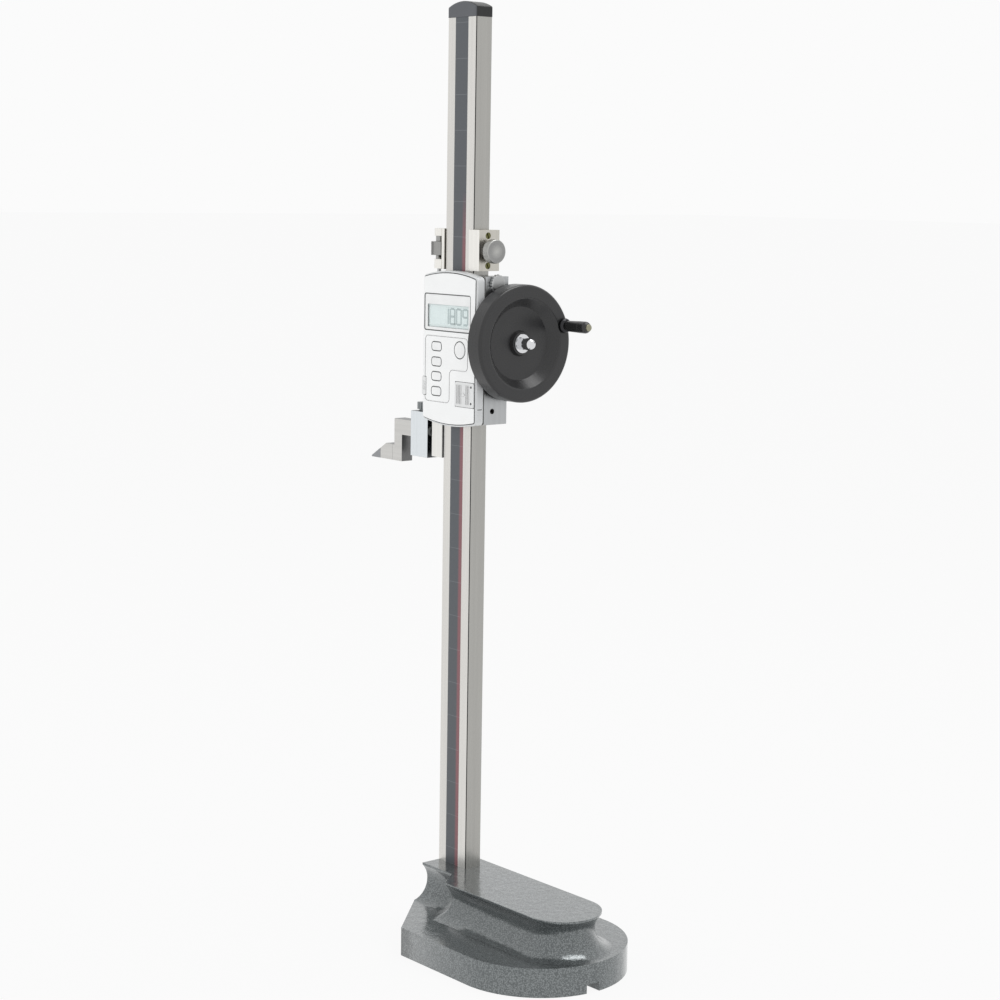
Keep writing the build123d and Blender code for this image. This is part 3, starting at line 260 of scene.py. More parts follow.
def ground_steel(name, side, along, roughness=0.30, front=None, corner=None):
    """Surface-ground steel.

    Grit lines 0.15 mm apart run along one axis and drag the highlights across it, and the
    wheel's passes show as faint bands 2.5 mm wide.
    """
    material = new_material(name)
    grit_scale = [1 / (0.15 * MM)] * 3
    pass_scale = [1 / (2.5 * MM)] * 3
    grit_scale["XYZ".index(along)] = 1 / (40 * MM)
    pass_scale["XYZ".index(along)] = 1 / (220 * MM)
    lines = add_node(
        material, "ShaderNodeTexNoise",
        {"Vector": object_place(material, Scale=grit_scale), "Scale": 1.0, "Detail": 2.0},
    )
    bands = add_node(
        material, "ShaderNodeTexNoise",
        {"Vector": object_place(material, Scale=pass_scale), "Scale": 1.0, "Detail": 2.0},
    )
    # where a front tint is given, it is a painted lit front, and the side tint is painted shade
    tint = facing_tints(material, front or side, side, corner)
    shade = add_node(material, "ShaderNodeMapRange", (bands, 0.3, 0.7, 0.96, 1.03))
    rough = (lines, 0.3, 0.7, roughness - 0.06, roughness + 0.08)
    set_shader(
        material,
        Base_Color=add_node(
            material, "ShaderNodeVectorMath", {0: tint, "Scale": shade}, operation="SCALE",
        ),
        Metallic=1.0,
        Roughness=add_node(material, "ShaderNodeMapRange", rough),
        Normal=add_node(
            material, "ShaderNodeBump",
            {"Height": lines, "Strength": 0.12, "Distance": 0.02 * MM},
        ),
    )
    return material


def turned_steel(name, tint, node):
    """Steel faced in a lathe: rings 0.25 mm apart run round the knob's own axis along X."""
    material = new_material(name)
    centre = middle(node) * MM
    place = object_place(material, Location=(0, -centre.y, -centre.z), Scale=(0, 1, 1))
    radius = add_node(
        material, "ShaderNodeVectorMath", (place,), operation="LENGTH",
    ).outputs["Value"]
    turns = add_node(
        material, "ShaderNodeMath", (radius, 2 * math.pi / (0.25 * MM)), operation="MULTIPLY",
    )
    rings = add_node(material, "ShaderNodeMath", (turns,), operation="SINE")
    # painted highlight lightens the face towards the middle and at its rim, and painted shade
    # darkens the knurl
    painted_centre_highlight = add_node(material, "ShaderNodeMapRange", (radius, 0.5 * MM, 5.5 * MM, 1.0, 0.0))
    painted_rim_highlight = add_node(material, "ShaderNodeMapRange", (radius, 7.8 * MM, 8.1 * MM))
    openness = add_node(
        material, "ShaderNodeAmbientOcclusion", {"Distance": 0.8 * MM}, samples=8, only_local=True,
    )
    clear_of_painted_shade = add_node(material, "ShaderNodeMapRange", (openness.outputs["AO"], 0.4, 0.9))
    face = add_node(
        material, "ShaderNodeMix", {0: painted_centre_highlight, 6: tint, 7: srgb("#B6B6B3")}, data_type="RGBA",
    ).outputs[2]
    face = add_node(
        material, "ShaderNodeMix", {0: painted_rim_highlight, 6: face, 7: srgb("#B2B2AF")}, data_type="RGBA",
    ).outputs[2]
    face = add_node(
        material, "ShaderNodeMix", {0: clear_of_painted_shade, 6: srgb("#3A3A39"), 7: face}, data_type="RGBA",
    ).outputs[2]
    set_shader(
        material,
        Base_Color=face,
        Metallic=1.0,
        Roughness=add_node(material, "ShaderNodeMapRange", (rings, -1.0, 1.0, 0.24, 0.36)),
        Anisotropic=0.75,
        Tangent=add_node(material, "ShaderNodeTangent", direction_type="RADIAL", axis="X"),
        Normal=add_node(
            material, "ShaderNodeBump",
            {"Height": rings, "Strength": 0.25, "Distance": 0.03 * MM},
        ),
    )
    return material


def scale_film():
    """Matt polyester film: charcoal, with a red band along one edge and fine light marks."""
    material = new_material("printed_scale_film")
    sizes = bpy.context.scene.gauge_sizes
    low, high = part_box("graduated_strip")
    place = object_place(material)
    spot = add_node(material, "ShaderNodeSeparateXYZ", (place,))
    across, up = spot.outputs["X"], spot.outputs["Z"]
    band_edge = high.x - 4.0 * MM
    in_band = add_node(
        material, "ShaderNodeMapRange", (across, band_edge - 0.6 * MM, band_edge + 1.2 * MM),
    )
    below_top = add_node(
        material, "ShaderNodeMapRange",
        (up, sizes.red_band_top - 40 * MM, sizes.red_band_top, 1.0, 0.0),
    )
    red = add_node(material, "ShaderNodeMath", (in_band, below_top), operation="MULTIPLY")
    ground = add_node(
        material, "ShaderNodeMix", {0: red, 6: chosen("film"), 7: chosen("film_red")},
        data_type="RGBA",
    )
    half_space = sizes.mark_spacing / 2
    above_foot = add_node(material, "ShaderNodeMath", (up, low.z), operation="SUBTRACT")
    step = add_node(material, "ShaderNodeMath", (above_foot, half_space), operation="PINGPONG")
    on_mark = add_node(
        material, "ShaderNodeMath", (step, half_space - 0.15 * MM), operation="GREATER_THAN",
    )
    faint = add_node(material, "ShaderNodeMath", (on_mark, 0.22), operation="MULTIPLY")
    printed = add_node(
        material, "ShaderNodeMix", {0: faint, 6: ground.outputs[2], 7: srgb("#B9BCC0")},
        data_type="RGBA",
    )
    grain = add_node(
        material, "ShaderNodeTexNoise", {"Vector": place, "Scale": 1 / (0.4 * MM), "Detail": 2.0},
    )
    set_shader(
        material,
        Base_Color=printed.outputs[2],
        Roughness=add_node(material, "ShaderNodeMapRange", (grain, 0.3, 0.7, 0.34, 0.42)),
    )
    return material


def moulded_plastic(
    name, tint, roughness, grain_mm=0.35, relief_mm=0.04, speckle=0.05, front=None, joints=False,
):
    """Injection-moulded plastic: a spark-eroded texture a few tenths of a millimetre across."""
    material = new_material(name)
    place = object_place(material)
    grain = add_node(
        material, "ShaderNodeTexNoise",
        {"Vector": place, "Scale": 1 / (grain_mm * MM), "Detail": 2.0},
    )
    cloud = add_node(
        material, "ShaderNodeTexNoise", {"Vector": place, "Scale": 1 / (14 * MM), "Detail": 1.0},
    )
    both = add_node(material, "ShaderNodeMath", (grain, cloud), operation="ADD")
    shade = add_node(material, "ShaderNodeMapRange", (both, 0.7, 1.3, 1 - speckle, 1 + speckle))
    # a given front tint is painted light: a painted reflection on faces towards the front
    own = facing_tints(material, front, tint) if front else tint[:3]
    tone = add_node(
        material, "ShaderNodeVectorMath", {0: own, "Scale": shade}, operation="SCALE",
    ).outputs["Vector"]
    if joints:
        # painted shade darkens the gaps between neighbouring mouldings
        openness = add_node(
            material, "ShaderNodeAmbientOcclusion", {"Distance": 2.0 * MM},
            samples=8, only_local=False,
        )
        clear_of_painted_shade = add_node(material, "ShaderNodeMapRange", (openness.outputs["AO"], 0.42, 0.74))
        tone = add_node(
            material, "ShaderNodeMix", {0: clear_of_painted_shade, 6: srgb("#3C3D3E"), 7: tone}, data_type="RGBA",
        ).outputs[2]
    rough = (grain, 0.3, 0.7, roughness - 0.04, roughness + 0.05)
    set_shader(
        material,
        Base_Color=tone,
        Roughness=add_node(material, "ShaderNodeMapRange", rough),
        Normal=add_node(
            material, "ShaderNodeBump",
            {"Height": grain, "Strength": 0.2, "Distance": relief_mm * MM},
        ),
    )
    return material


def plated(name, tint, roughness, painted_shade_reach_mm=0.0):
    """Plated or blackened metal: smooth, with a faint orange peel, and with painted shade in its
    knurls and hollows.
    """
    material = new_material(name)
    peel = add_node(
        material, "ShaderNodeTexNoise",
        {"Vector": object_place(material), "Scale": 1 / (0.6 * MM), "Detail": 1.0},
    )
    if painted_shade_reach_mm:
        # painted shade within the given reach of the piece's own surfaces
        openness = add_node(
            material, "ShaderNodeAmbientOcclusion", {"Distance": painted_shade_reach_mm * MM},
            samples=8, only_local=True,
        )
        clear_of_painted_shade = add_node(material, "ShaderNodeMapRange", (openness.outputs["AO"], 0.45, 0.90))
        tint = add_node(
            material, "ShaderNodeMix", {0: clear_of_painted_shade, 6: srgb("#2E2E2D"), 7: tint}, data_type="RGBA",
        ).outputs[2]
    rough = (peel, 0.3, 0.7, max(0.02, roughness - 0.03), roughness + 0.03)
    set_shader(
        material,
        Base_Color=tint,
        Metallic=1.0,
        Roughness=add_node(material, "ShaderNodeMapRange", rough),
        Normal=add_node(
            material, "ShaderNodeBump",
            {"Height": peel, "Strength": 0.05, "Distance": 0.02 * MM},
        ),
    )
    return material


def clear_window():
    """Thin clear acrylic: almost nothing but its gloss is seen."""
    material = new_material("clear_acrylic")
    haze = add_node(
        material, "ShaderNodeTexNoise",
        {"Vector": object_place(material), "Scale": 1 / (6 * MM), "Detail": 1.0},
    )
    set_shader(
        material,
        Base_Color=srgb("#EEF6F5"),
        Roughness=add_node(material, "ShaderNodeMapRange", (haze, 0.3, 0.7, 0.03, 0.07)),
        Alpha=add_node(material, "ShaderNodeMapRange", (haze, 0.3, 0.7, 0.12, 0.15)),
    )
    return material


def studio_paper():
    """Matt paper that shows white to the camera and in reflections, and keeps the shadow."""
    material = new_material("studio_paper")
    set_shader(
        material, Base_Color=srgb("#F8F8F8"), Roughness=0.95, Specular_IOR_Level=0.0,
    )
    glow = add_node(material, "ShaderNodeEmission", {"Color": srgb("#FBFBFB"), "Strength": 1.0})
    share = add_node(material, "ShaderNodeMath", (seen_ray(material), 0.95), operation="MULTIPLY")
    shader = material.node_tree.nodes["Principled BSDF"]
    mix = add_node(material, "ShaderNodeMixShader", (share, shader, glow))
    output = material.node_tree.nodes["Material Output"]
    feed(material, output.inputs["Surface"], mix)
    return material


# ---------------------------------------------------------------- modelling tools

def pick_only(piece):
    """Leaves one object selected and active, or nothing selected."""
    for other in bpy.context.selected_objects:
        other.select_set(False)
    if piece is not None:
        piece.select_set(True)
        bpy.context.view_layer.objects.active = piece


def apply_modifier(piece, kind, **settings):
    """Adds a modifier, sets it and applies it."""
    pick_only(piece)
    modifier = piece.modifiers.new(kind.title(), kind)
    for name, value in settings.items():
        setattr(modifier, name, value)
    bpy.ops.object.modifier_apply(modifier=modifier.name)


def finish_piece(piece, body, material, smooth=35, nodes=()):
    """Settles a piece's place into its mesh, smooths it, and puts it on its body."""
    pick_only(piece)
    bpy.ops.object.transform_apply(location=True, rotation=True, scale=True)
    bpy.ops.object.shade_smooth_by_angle(angle=math.radians(smooth))
    # flat faces keep their true normals, so that what they mirror stays straight
    apply_modifier(piece, "WEIGHTED_NORMAL", keep_sharp=True)
    piece.data.materials.clear()
    piece.data.materials.append(material)
    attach(piece, body)
    if nodes:
        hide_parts(*nodes)
    return piece


def dressed(node, name, material, edge_mm=0.3, edge_angle=40, smooth=35):
    """A merged copy of a CAD node with its sharp edges broken, which stands for the node."""
    piece = bpy.data.objects.new(name, frame["nodes"][node].data.copy())
    bpy.context.collection.objects.link(piece)
    pick_only(piece)
    bpy.ops.object.mode_set(mode="EDIT")
    bpy.ops.mesh.select_all(action="SELECT")
    bpy.ops.mesh.remove_doubles(threshold=0.002 * MM)
    bpy.ops.mesh.dissolve_limited(angle_limit=math.radians(0.5))
    bpy.ops.object.mode_set(mode="OBJECT")
    if edge_mm:
        apply_modifier(
            piece, "BEVEL", width=edge_mm * MM, segments=2, limit_method="ANGLE",
            angle_limit=math.radians(edge_angle), use_clamp_overlap=True,
        )
    return finish_piece(piece, BODY_OF[node], material, smooth, [node])


def paint(node, material):
    """Gives a CAD node that stays in view its finish."""
    slots = frame["nodes"][node].material_slots
    for place in slots:
        place.material = material
    if not slots:
        frame["nodes"][node].data.materials.append(material)


def slab(name, low, high, edge_mm):
    """A box between two corners in millimetres, its edges broken in edit mode."""
    pick_only(None)
    centre = [(a + b) / 2 * MM for a, b in zip(low, high)]
    bpy.ops.mesh.primitive_cube_add(size=1, location=centre)
    piece = bpy.context.object
    piece.name = name
    piece.scale = [(b - a) * MM for a, b in zip(low, high)]
    bpy.ops.object.transform_apply(location=True, rotation=True, scale=True)
    bpy.ops.object.mode_set(mode="EDIT")
    bpy.ops.mesh.select_all(action="SELECT")
    bpy.ops.mesh.bevel(offset=edge_mm * MM, segments=2)
    bpy.ops.object.mode_set(mode="OBJECT")
    return piece


def border(name, node, outline, line_mm=0.5, proud_mm=0.03):
    """A rounded line of ink on the panel round a key or the window.

    Its outline is the width, height and corner radius in millimetres.
    """
    pick_only(None)
    wide, high, corner = outline
    centre = middle(node) * MM
    face_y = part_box("front_panel")[0].y
    bpy.ops.mesh.primitive_plane_add(
        size=1, location=(centre.x, face_y, centre.z), rotation=(math.radians(90), 0, 0),
    )
    piece = bpy.context.object
    piece.name = name
    piece.scale = (wide * MM, high * MM, 1)
    bpy.ops.object.transform_apply(location=True, rotation=True, scale=True)
    bpy.ops.object.mode_set(mode="EDIT")
    bpy.ops.mesh.select_all(action="SELECT")
    bpy.ops.mesh.bevel(offset=corner * MM, segments=8, affect="VERTICES")
    bpy.ops.mesh.select_all(action="SELECT")
    bpy.ops.mesh.inset(thickness=line_mm * MM)
    bpy.ops.mesh.delete(type="FACE")
    bpy.ops.mesh.select_all(action="SELECT")
    bpy.ops.mesh.extrude_region_move(TRANSFORM_OT_translate={"value": (0, -proud_mm * MM, 0)})
    bpy.ops.mesh.select_all(action="SELECT")
    bpy.ops.mesh.normals_make_consistent(inside=False)
    bpy.ops.object.mode_set(mode="OBJECT")
    return piece


def joined(pieces, name):
    """Joins pieces into one object."""
    pick_only(pieces[0])
    for piece in pieces[1:]:
        piece.select_set(True)
    bpy.ops.object.join()
    pieces[0].name = name
    return pieces[0]


# ---------------------------------------------------------------- the gauge, piece by piece

class GAUGE_OT_base(bpy.types.Operator):
    """Enamels the base casting and blackens its screws"""
    bl_idname = "gauge.base"
    bl_label = "Base"

    def execute(self, context):
        dressed(
            "base_casting", "enamelled_base", hammertone_enamel(),
            edge_mm=0.7, edge_angle=50, smooth=40,
        )
        paint("beam_screws", plated("blacked_screw_steel", srgb("#1C1C1D"), roughness=0.35))
        return {"FINISHED"}


class GAUGE_OT_beam(bpy.types.Operator):
    """Finishes the ground beam, its printed film, its rack and its cap"""
    bl_idname = "gauge.beam"
    bl_label = "Beam"

    def execute(self, context):
        # painted light: the lighter front tint is a painted lit front, the side tint painted shade,
        # and the black corner tint a painted dark reflection on the outer chamfers
        steel = ground_steel(
            "surface_ground_steel", chosen("ground"), "Z",
            front=chosen("painted_lit_front"), corner=srgb("#2B2B2B"),
        )
        dressed("beam", "ground_beam", steel, edge_mm=0.0)
        paint("graduated_strip", scale_film())
        paint("feed_rack", ground_steel("milled_rack_steel", srgb("#9FA0A0"), "X", roughness=0.36))
        # the cap's grey front tint is a painted reflection on its black plastic
        cap_plastic = moulded_plastic(
            "black_polyamide", srgb("#161617"), roughness=0.34, front=srgb("#56585D"),
        )
        dressed("top_cap", "moulded_cap", cap_plastic, edge_mm=0.25)
        return {"FINISHED"}


class GAUGE_OT_slider(bpy.types.Operator):
    """Finishes the slider's frame, back plate, gib, screws and lock knob"""
    bl_idname = "gauge.slider"
    bl_label = "Slider"

    def execute(self, context):
        # the lighter front tint is a painted lit front, the side tint painted shade
        satin = ground_steel(
            "satin_chromed_steel", srgb("#B8BABB"), "Z", roughness=0.34, front=srgb("#EDECE8"),
        )
        dressed("slider_frame", "slider_body", satin, edge_mm=0.4)
        dressed("back_plate", "slider_back", satin, edge_mm=0.4)
        black = plated("black_oxide_steel", srgb("#19191A"), roughness=0.4)
        brass = plated("gib_brass", srgb("#B39A5C"), roughness=0.3)
        for node in ("gib_screws", "back_plate_screws"):
            paint(node, black)
        for node in ("shaft_bushes", "slider_gib"):
            paint(node, brass)
        # painted shade darkens the knob's knurl
        nickel = plated("satin_nickel", srgb("#B4B5B5"), roughness=0.30, painted_shade_reach_mm=2.0)
        dressed("lock_knob", "slider_lock_knob", nickel, edge_mm=0.15)
        return {"FINISHED"}


class GAUGE_OT_display(bpy.types.Operator):
    """Finishes the display: case, panel, window, digits, keys and covers"""
    bl_idname = "gauge.display"
    bl_label = "Display"

    reading = "18.09"
    # the seven strokes of a figure: the middle of each, as shares of the figure's width and
    # height, and whether it stands upright
    strokes = {
        "top": (0, 0.5, False), "middle": (0, 0, False), "bottom": (0, -0.5, False),
        "upper_left": (-0.5, 0.25, True), "upper_right": (0.5, 0.25, True),
        "lower_left": (-0.5, -0.25, True), "lower_right": (0.5, -0.25, True),
    }
    digits = {
        "1": ("upper_right", "lower_right"),
        "8": tuple(strokes),
        "0": tuple(name for name in strokes if name != "middle"),
        "9": tuple(name for name in strokes if name != "lower_left"),
    }

    def digit_row(self, right, base, height, face_y):
        """The reading as flat strokes behind the window, its last figure at the right."""
        width, stroke, pitch = height * 0.42, height * 0.12, height * 0.59
        upright_length, level_length = height * 0.44, width * 0.80
        back_y, edge_mm = face_y + 0.05, 0.01
        made = []
        x = right
        for character in reversed(self.reading):
            if character == ".":
                dot_x = x - stroke
                low, high = (dot_x, face_y, base), (dot_x + stroke, back_y, base + stroke)
                made.append(slab("dot", low, high, edge_mm))
                continue
            x -= pitch
            for name in self.digits[character]:
                across, up, upright = self.strokes[name]
                half_long = (upright_length if upright else level_length) / 2
                half_x, half_z = (stroke / 2, half_long) if upright else (half_long, stroke / 2)
                middle_x = x + pitch / 2 + across * width
                middle_z = base + height / 2 + up * (height - stroke)
                low = (middle_x - half_x, face_y, middle_z - half_z)
                high = (middle_x + half_x, back_y, middle_z + half_z)
                made.append(slab("stroke", low, high, edge_mm))
        return joined(made, "lcd_digits")

    def seat_key(self, cap):
        """Lets a key's crown sit 0.5 mm lower, nearly level with the film round it."""
        drop = 0.5 * MM
        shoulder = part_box("front_panel")[0].y + drop
        for corner in cap.data.vertices:
            if corner.co.y < shoulder:
                corner.co.y += drop

    def pips(self):
        """The two dark pips near the battery lid's right edge."""
        radius, depth, sunk, margin = 0.85 * MM, 0.5 * MM, 0.55 * MM, 3.0 * MM
        low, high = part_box("battery_cover")
        made = []
        for height in (low.z + margin, high.z - margin):
            pick_only(None)
            bpy.ops.mesh.primitive_cylinder_add(
                vertices=24, radius=radius, depth=depth, rotation=(math.radians(90), 0, 0),
                location=(high.x - margin, low.y + sunk, height),
            )
            made.append(bpy.context.object)
        return joined(made, "lid_pips")

    def borders(self):
        """The dark lines printed round the keys and the window."""
        key_line, power_line, window_line = (12.2, 7.3, 2.9), (13.2, 13.2, 6.59), (54.0, 27.4, 2.0)
        made = [border(node + "_line", node, key_line) for node in KEYS]
        made.append(border("power_line", "power_key", power_line))
        made.append(border("window_line", "lcd_frame", window_line))
        return joined(made, "printed_borders")

    def shell(self):
        """The case, the panel and the window's surround."""
        # painted shade darkens the gaps round the case
        lacquer = moulded_plastic(
            "silver_lacquered_abs", chosen("lacquer"), roughness=0.36,
            grain_mm=0.25, relief_mm=0.015, speckle=0.03, joints=True,
        )
        dressed("display_case", "case_moulding", lacquer, edge_mm=0.2)
        # painted shade darkens the gaps round the panel film
        film = moulded_plastic(
            "silver_keypad_film", chosen("keypad"), roughness=0.36,
            grain_mm=0.25, relief_mm=0.01, speckle=0.02, joints=True,
        )
        dressed("front_panel", "panel_moulding", film, edge_mm=0.12)
        white = moulded_plastic("white_printed_film", srgb("#F2F3F3"), roughness=0.4)
        dressed("lcd_frame", "window_surround", white, edge_mm=0.1)

    def window(self, digit_height):
        """The clear window, the cell behind it and the reading."""
        paint("lcd_window", clear_window())
        cell = moulded_plastic(
            "reflective_lcd_cell", srgb("#F2FCFC"), roughness=0.3,
            grain_mm=0.3, relief_mm=0.0, speckle=0.01,
        )
        paint("lcd_module", cell)
        right_margin, foot_margin, proud = 1.4, 2.1, 0.06
        low, high = [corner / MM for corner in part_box("lcd_module")]
        figures = self.digit_row(
            right=high.x - right_margin, base=low.z + foot_margin,
            height=digit_height / MM, face_y=low.y - proud,
        )
        segments = moulded_plastic("lcd_segment_grey", srgb("#B2C0C1"), roughness=0.4)
        finish_piece(figures, "slider", segments)

    def keys_and_covers(self):
        """The key caps and the lids of the battery and the port."""
        key_plastic = moulded_plastic("key_cap_plastic", srgb("#F4F5F5"), roughness=0.36)
        for node in (*KEYS, "power_key"):
            self.seat_key(dressed(node, node.replace("key", "cap"), key_plastic, edge_mm=0.0))
        # painted shade darkens the gaps round the lids
        lid = moulded_plastic(
            "silver_lid_abs", srgb("#E4E5E5"), roughness=0.34,
            grain_mm=0.25, relief_mm=0.015, speckle=0.03, joints=True,
        )
        dressed("battery_cover", "battery_lid", lid, edge_mm=0.1)
        dressed("port_cover", "port_lid", lid, edge_mm=0.1)
        pip_black = moulded_plastic("pip_black", srgb("#3A3B3C"), roughness=0.5)
        finish_piece(self.pips(), "battery_door", pip_black)

    def execute(self, context):
        self.shell()
        self.window(context.scene.gauge_sizes.digit_height)
        ink = moulded_plastic("screened_grey_ink", srgb("#565859"), roughness=0.4)
        finish_piece(self.borders(), "slider", ink)
        self.keys_and_covers()
        mask = moulded_plastic("green_solder_mask", srgb("#1F5A33"), roughness=0.35)
        paint("circuit_board", mask)
        paint("coin_cell", plated("nickel_cell_can", srgb("#C9C9C4"), roughness=0.22))
        paint("data_port", moulded_plastic("black_connector", srgb("#222324"), roughness=0.4))
        return {"FINISHED"}


class GAUGE_OT_jaw(bpy.types.Operator):
    """Finishes the measuring jaw, the scriber and their screws"""
    bl_idname = "gauge.jaw"
    bl_label = "Jaw and scriber"

    def execute(self, context):
        # the jaw's light front tint is a painted lit front, its dark side tint painted shade
        jaw_steel = ground_steel(
            "ground_jaw_steel", srgb("#55585A"), "Z", roughness=0.32, front=srgb("#E3E8EB"),
        )
        dressed("measuring_jaw", "ground_jaw", jaw_steel, edge_mm=0.3)
        # the arm's light front tint is a painted lit front, its grey side tint painted shade
        arm_steel = ground_steel(
            "ground_scriber_steel", srgb("#777777"), "X", roughness=0.34, front=srgb("#D1D0CD"),
        )
        dressed("scriber_arm", "scriber_holder", arm_steel, edge_mm=0.2)
        dressed("scriber_blade", "scriber_shank", arm_steel, edge_mm=0.15)
        carbide = ground_steel("ground_carbide", srgb("#9A9C9E"), "Z", roughness=0.26)
        dressed("scriber_tip", "carbide_point", carbide, edge_mm=0.0)
        dark = plated("dark_plated_steel", srgb("#4A4C4B"), roughness=0.3)
        dressed("jaw_screw", "jaw_clamp_washer", dark, edge_mm=0.2)
        grey = plated("grey_plated_steel", srgb("#8C9091"), roughness=0.3)
        dressed("scriber_clamp_screw", "scriber_screw_head", grey, edge_mm=0.1)
        return {"FINISHED"}


class GAUGE_OT_handwheel(bpy.types.Operator):
    """Finishes the hand wheel, its nut and its revolving grip"""
    bl_idname = "gauge.handwheel"
    bl_label = "Hand wheel"

    def end_screw(self, material):
        """The lacquered screw head that shows in the rounded end of the grip."""
        radius, depth, sunk = 2.5 * MM, 1.6 * MM, 0.6 * MM
        pick_only(None)
        centre = middle("grip_cap") * MM
        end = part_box("grip_cap")[1].x
        bpy.ops.mesh.primitive_cylinder_add(
            vertices=48, radius=radius, depth=depth, location=(end - sunk, centre.y, centre.z),
            rotation=(0, math.radians(90), 0),
        )
        screw = bpy.context.object
        screw.name = "grip_end_screw"
        apply_modifier(screw, "BEVEL", width=0.3 * MM, segments=3, limit_method="ANGLE")
        finish_piece(screw, "grip", material)

    def execute(self, context):
        phenolic = moulded_plastic(
            "black_phenolic", chosen("phenolic"), roughness=0.29,
            grain_mm=0.5, relief_mm=0.03, speckle=0.05,
        )
        dressed(
            "handwheel", "wheel_moulding", phenolic, edge_mm=0.35, edge_angle=25, smooth=30,
        )
        # painted shade and painted dark reflection in the chrome's hollows, within 4 mm
        chrome = plated("bright_chrome", srgb("#DADBDD"), roughness=0.07, painted_shade_reach_mm=4.0)
        dressed("wheel_washer", "chromed_washer", chrome, edge_mm=0.2)
        dressed("dome_nut", "chromed_nut", chrome, edge_mm=0.15)
        # the spindle's dark tint is a painted dark reflection on its plating
        dark = plated("spindle_steel_painted_dark", srgb("#38383A"), roughness=0.16)
        dressed("handle_boss", "spindle_boss_painted_dark", dark, edge_mm=0.1)
        dressed("handle_grip", "grip_sleeve", phenolic, edge_mm=0.4)
        dressed("grip_cap", "grip_end", phenolic, edge_mm=0.1)
        self.end_screw(plated("bronze_lacquer", srgb("#9A9884"), roughness=0.35))
        steel = ground_steel("shaft_steel", srgb("#A9AAAA"), "X", roughness=0.3)
        for node in ("pinion_shaft", "drive_pinion"):
            paint(node, steel)
        return {"FINISHED"}


class GAUGE_OT_carriage(bpy.types.Operator):
    """Finishes the fine adjustment carriage, its nut, spindle, screws and knob"""
    bl_idname = "gauge.carriage"
    bl_label = "Fine adjustment"

    def execute(self, context):
        # the lighter front tint is a painted lit front, the side tint painted shade
        block = ground_steel(
            "ground_carriage_steel", srgb("#C9C6BE"), "Z", roughness=0.32, front=srgb("#F3F1EC"),
        )
        dressed("carriage_block", "carriage_body", block, edge_mm=0.3)
        aged = plated("aged_brass", srgb("#6B6A46"), roughness=0.35)
        dressed("carriage_gib_screws", "brass_screws", aged, edge_mm=0.15)
        paint("carriage_gib", plated("carriage_brass", srgb("#B39A5C"), roughness=0.3))
        # painted shade darkens the nut's knurl
        nut_steel = plated("nut_steel", srgb("#A7A7A5"), roughness=0.32, painted_shade_reach_mm=0.6)
        dressed("fine_feed_nut", "knurled_nut", nut_steel, edge_mm=0.0)
        paint("fine_feed_spindle", plated("spindle_steel", srgb("#B9BABA"), roughness=0.2))
        # painted highlight on the knob's face and rim, painted shade in its knurl
        faced = turned_steel("faced_knob_steel", srgb("#969695"), "carriage_clamp_knob")
        dressed("carriage_clamp_knob", "carriage_knob", faced, edge_mm=0.1)
        return {"FINISHED"}


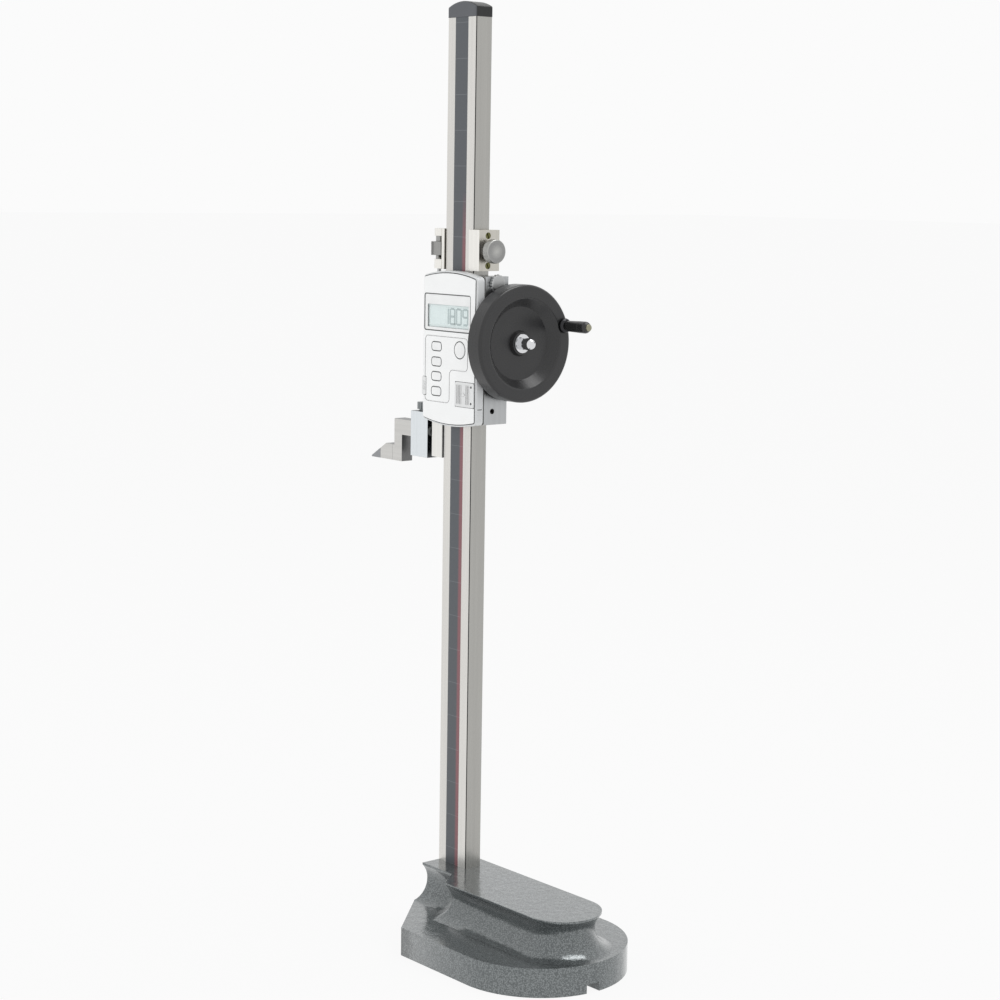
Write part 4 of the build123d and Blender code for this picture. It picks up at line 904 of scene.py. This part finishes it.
class GAUGE_OT_studio(bpy.types.Operator):
    """Sets the floor, the world, the lamps and the camera"""
    bl_idname = "gauge.studio"
    bl_label = "Studio"

    # name, place in metres, turn in degrees, size in metres, watts, whether metal mirrors it
    lamps = (
        ("key_softbox", (-1.70, -1.75, 0.80), (79, 0, -44), (2.2, 1.3), 13.0, False),
        ("side_softbox", (1.9, -0.4, 1.0), (72, 0, 78), (1.2, 1.2), 4.0, False),
        ("top_softbox", (0.35, 0.55, 2.05), (-18, 0, -30), (1.0, 1.0), 11.0, True),
    )
    camera_place = (1.26856, -1.02159, 0.55801)
    camera_turn = (81.8947, -0.8722, 50.3455)
    camera_lens = 80.144

    def light_room(self):
        """A plain grey world that lights the gauge, and the white backdrop that is seen."""
        world = bpy.data.worlds.new("studio_world")
        world.use_nodes = True
        bpy.context.scene.world = world
        ambient = world.node_tree.nodes["Background"]
        feed(world, ambient.inputs["Color"], (1, 1, 1, 1))
        feed(world, ambient.inputs["Strength"], 0.72)
        backdrop = add_node(world, "ShaderNodeBackground", (srgb("#FBFBFB"), 1.0))
        mix = add_node(world, "ShaderNodeMixShader", (seen_ray(world), ambient, backdrop))
        feed(world, world.node_tree.nodes["World Output"].inputs["Surface"], mix)

    def execute(self, context):
        pick_only(None)
        bpy.ops.mesh.primitive_plane_add(size=60, location=(0, 0, 0))
        floor = bpy.context.object
        floor.name = "studio_floor"
        floor.data.materials.append(studio_paper())
        self.light_room()
        for name, place, turn, size, watts, mirrored in self.lamps:
            bpy.ops.object.light_add(
                type="AREA", location=place, rotation=[math.radians(angle) for angle in turn],
            )
            lamp = bpy.context.object
            lamp.name = name
            lamp.data.shape = "RECTANGLE"
            lamp.data.size, lamp.data.size_y = size
            lamp.data.energy = watts
            lamp.visible_glossy = mirrored
        bpy.ops.object.camera_add(
            location=self.camera_place,
            rotation=[math.radians(angle) for angle in self.camera_turn],
        )
        camera = bpy.context.object
        camera.data.lens = self.camera_lens
        context.scene.camera = camera
        context.scene.view_settings.view_transform = "Standard"
        return {"FINISHED"}


class GAUGE_PT_panel(bpy.types.Panel):
    """Lists the gauge's settings and pieces in the sidebar"""
    bl_label = "Height gauge"
    bl_space_type = "VIEW_3D"
    bl_region_type = "UI"
    bl_category = "Gauge"

    def draw(self, context):
        for group in (context.scene.gauge_colours, context.scene.gauge_sizes):
            for name in type(group).__annotations__:
                self.layout.prop(group, name)
        for operator in OPERATORS:
            self.layout.operator(operator.bl_idname)


OPERATORS = (
    GAUGE_OT_base,
    GAUGE_OT_beam,
    GAUGE_OT_slider,
    GAUGE_OT_display,
    GAUGE_OT_jaw,
    GAUGE_OT_handwheel,
    GAUGE_OT_carriage,
    GAUGE_OT_studio,
)
CLASSES = (GaugeColours, GaugeSizes, *OPERATORS, GAUGE_PT_panel)


def register():
    for made in CLASSES:
        bpy.utils.register_class(made)
    bpy.types.Scene.gauge_colours = bpy.props.PointerProperty(type=GaugeColours)
    bpy.types.Scene.gauge_sizes = bpy.props.PointerProperty(type=GaugeSizes)


def unregister():
    del bpy.types.Scene.gauge_sizes
    del bpy.types.Scene.gauge_colours
    for made in reversed(CLASSES):
        bpy.utils.unregister_class(made)


def main():
    """Registers the classes, with the colour and size settings, and makes every piece."""
    register()
    bpy.ops.gauge.base()
    bpy.ops.gauge.beam()
    bpy.ops.gauge.slider()
    bpy.ops.gauge.display()
    bpy.ops.gauge.jaw()
    bpy.ops.gauge.handwheel()
    bpy.ops.gauge.carriage()
    bpy.ops.gauge.studio()


if __name__ == "__main__":
    main()
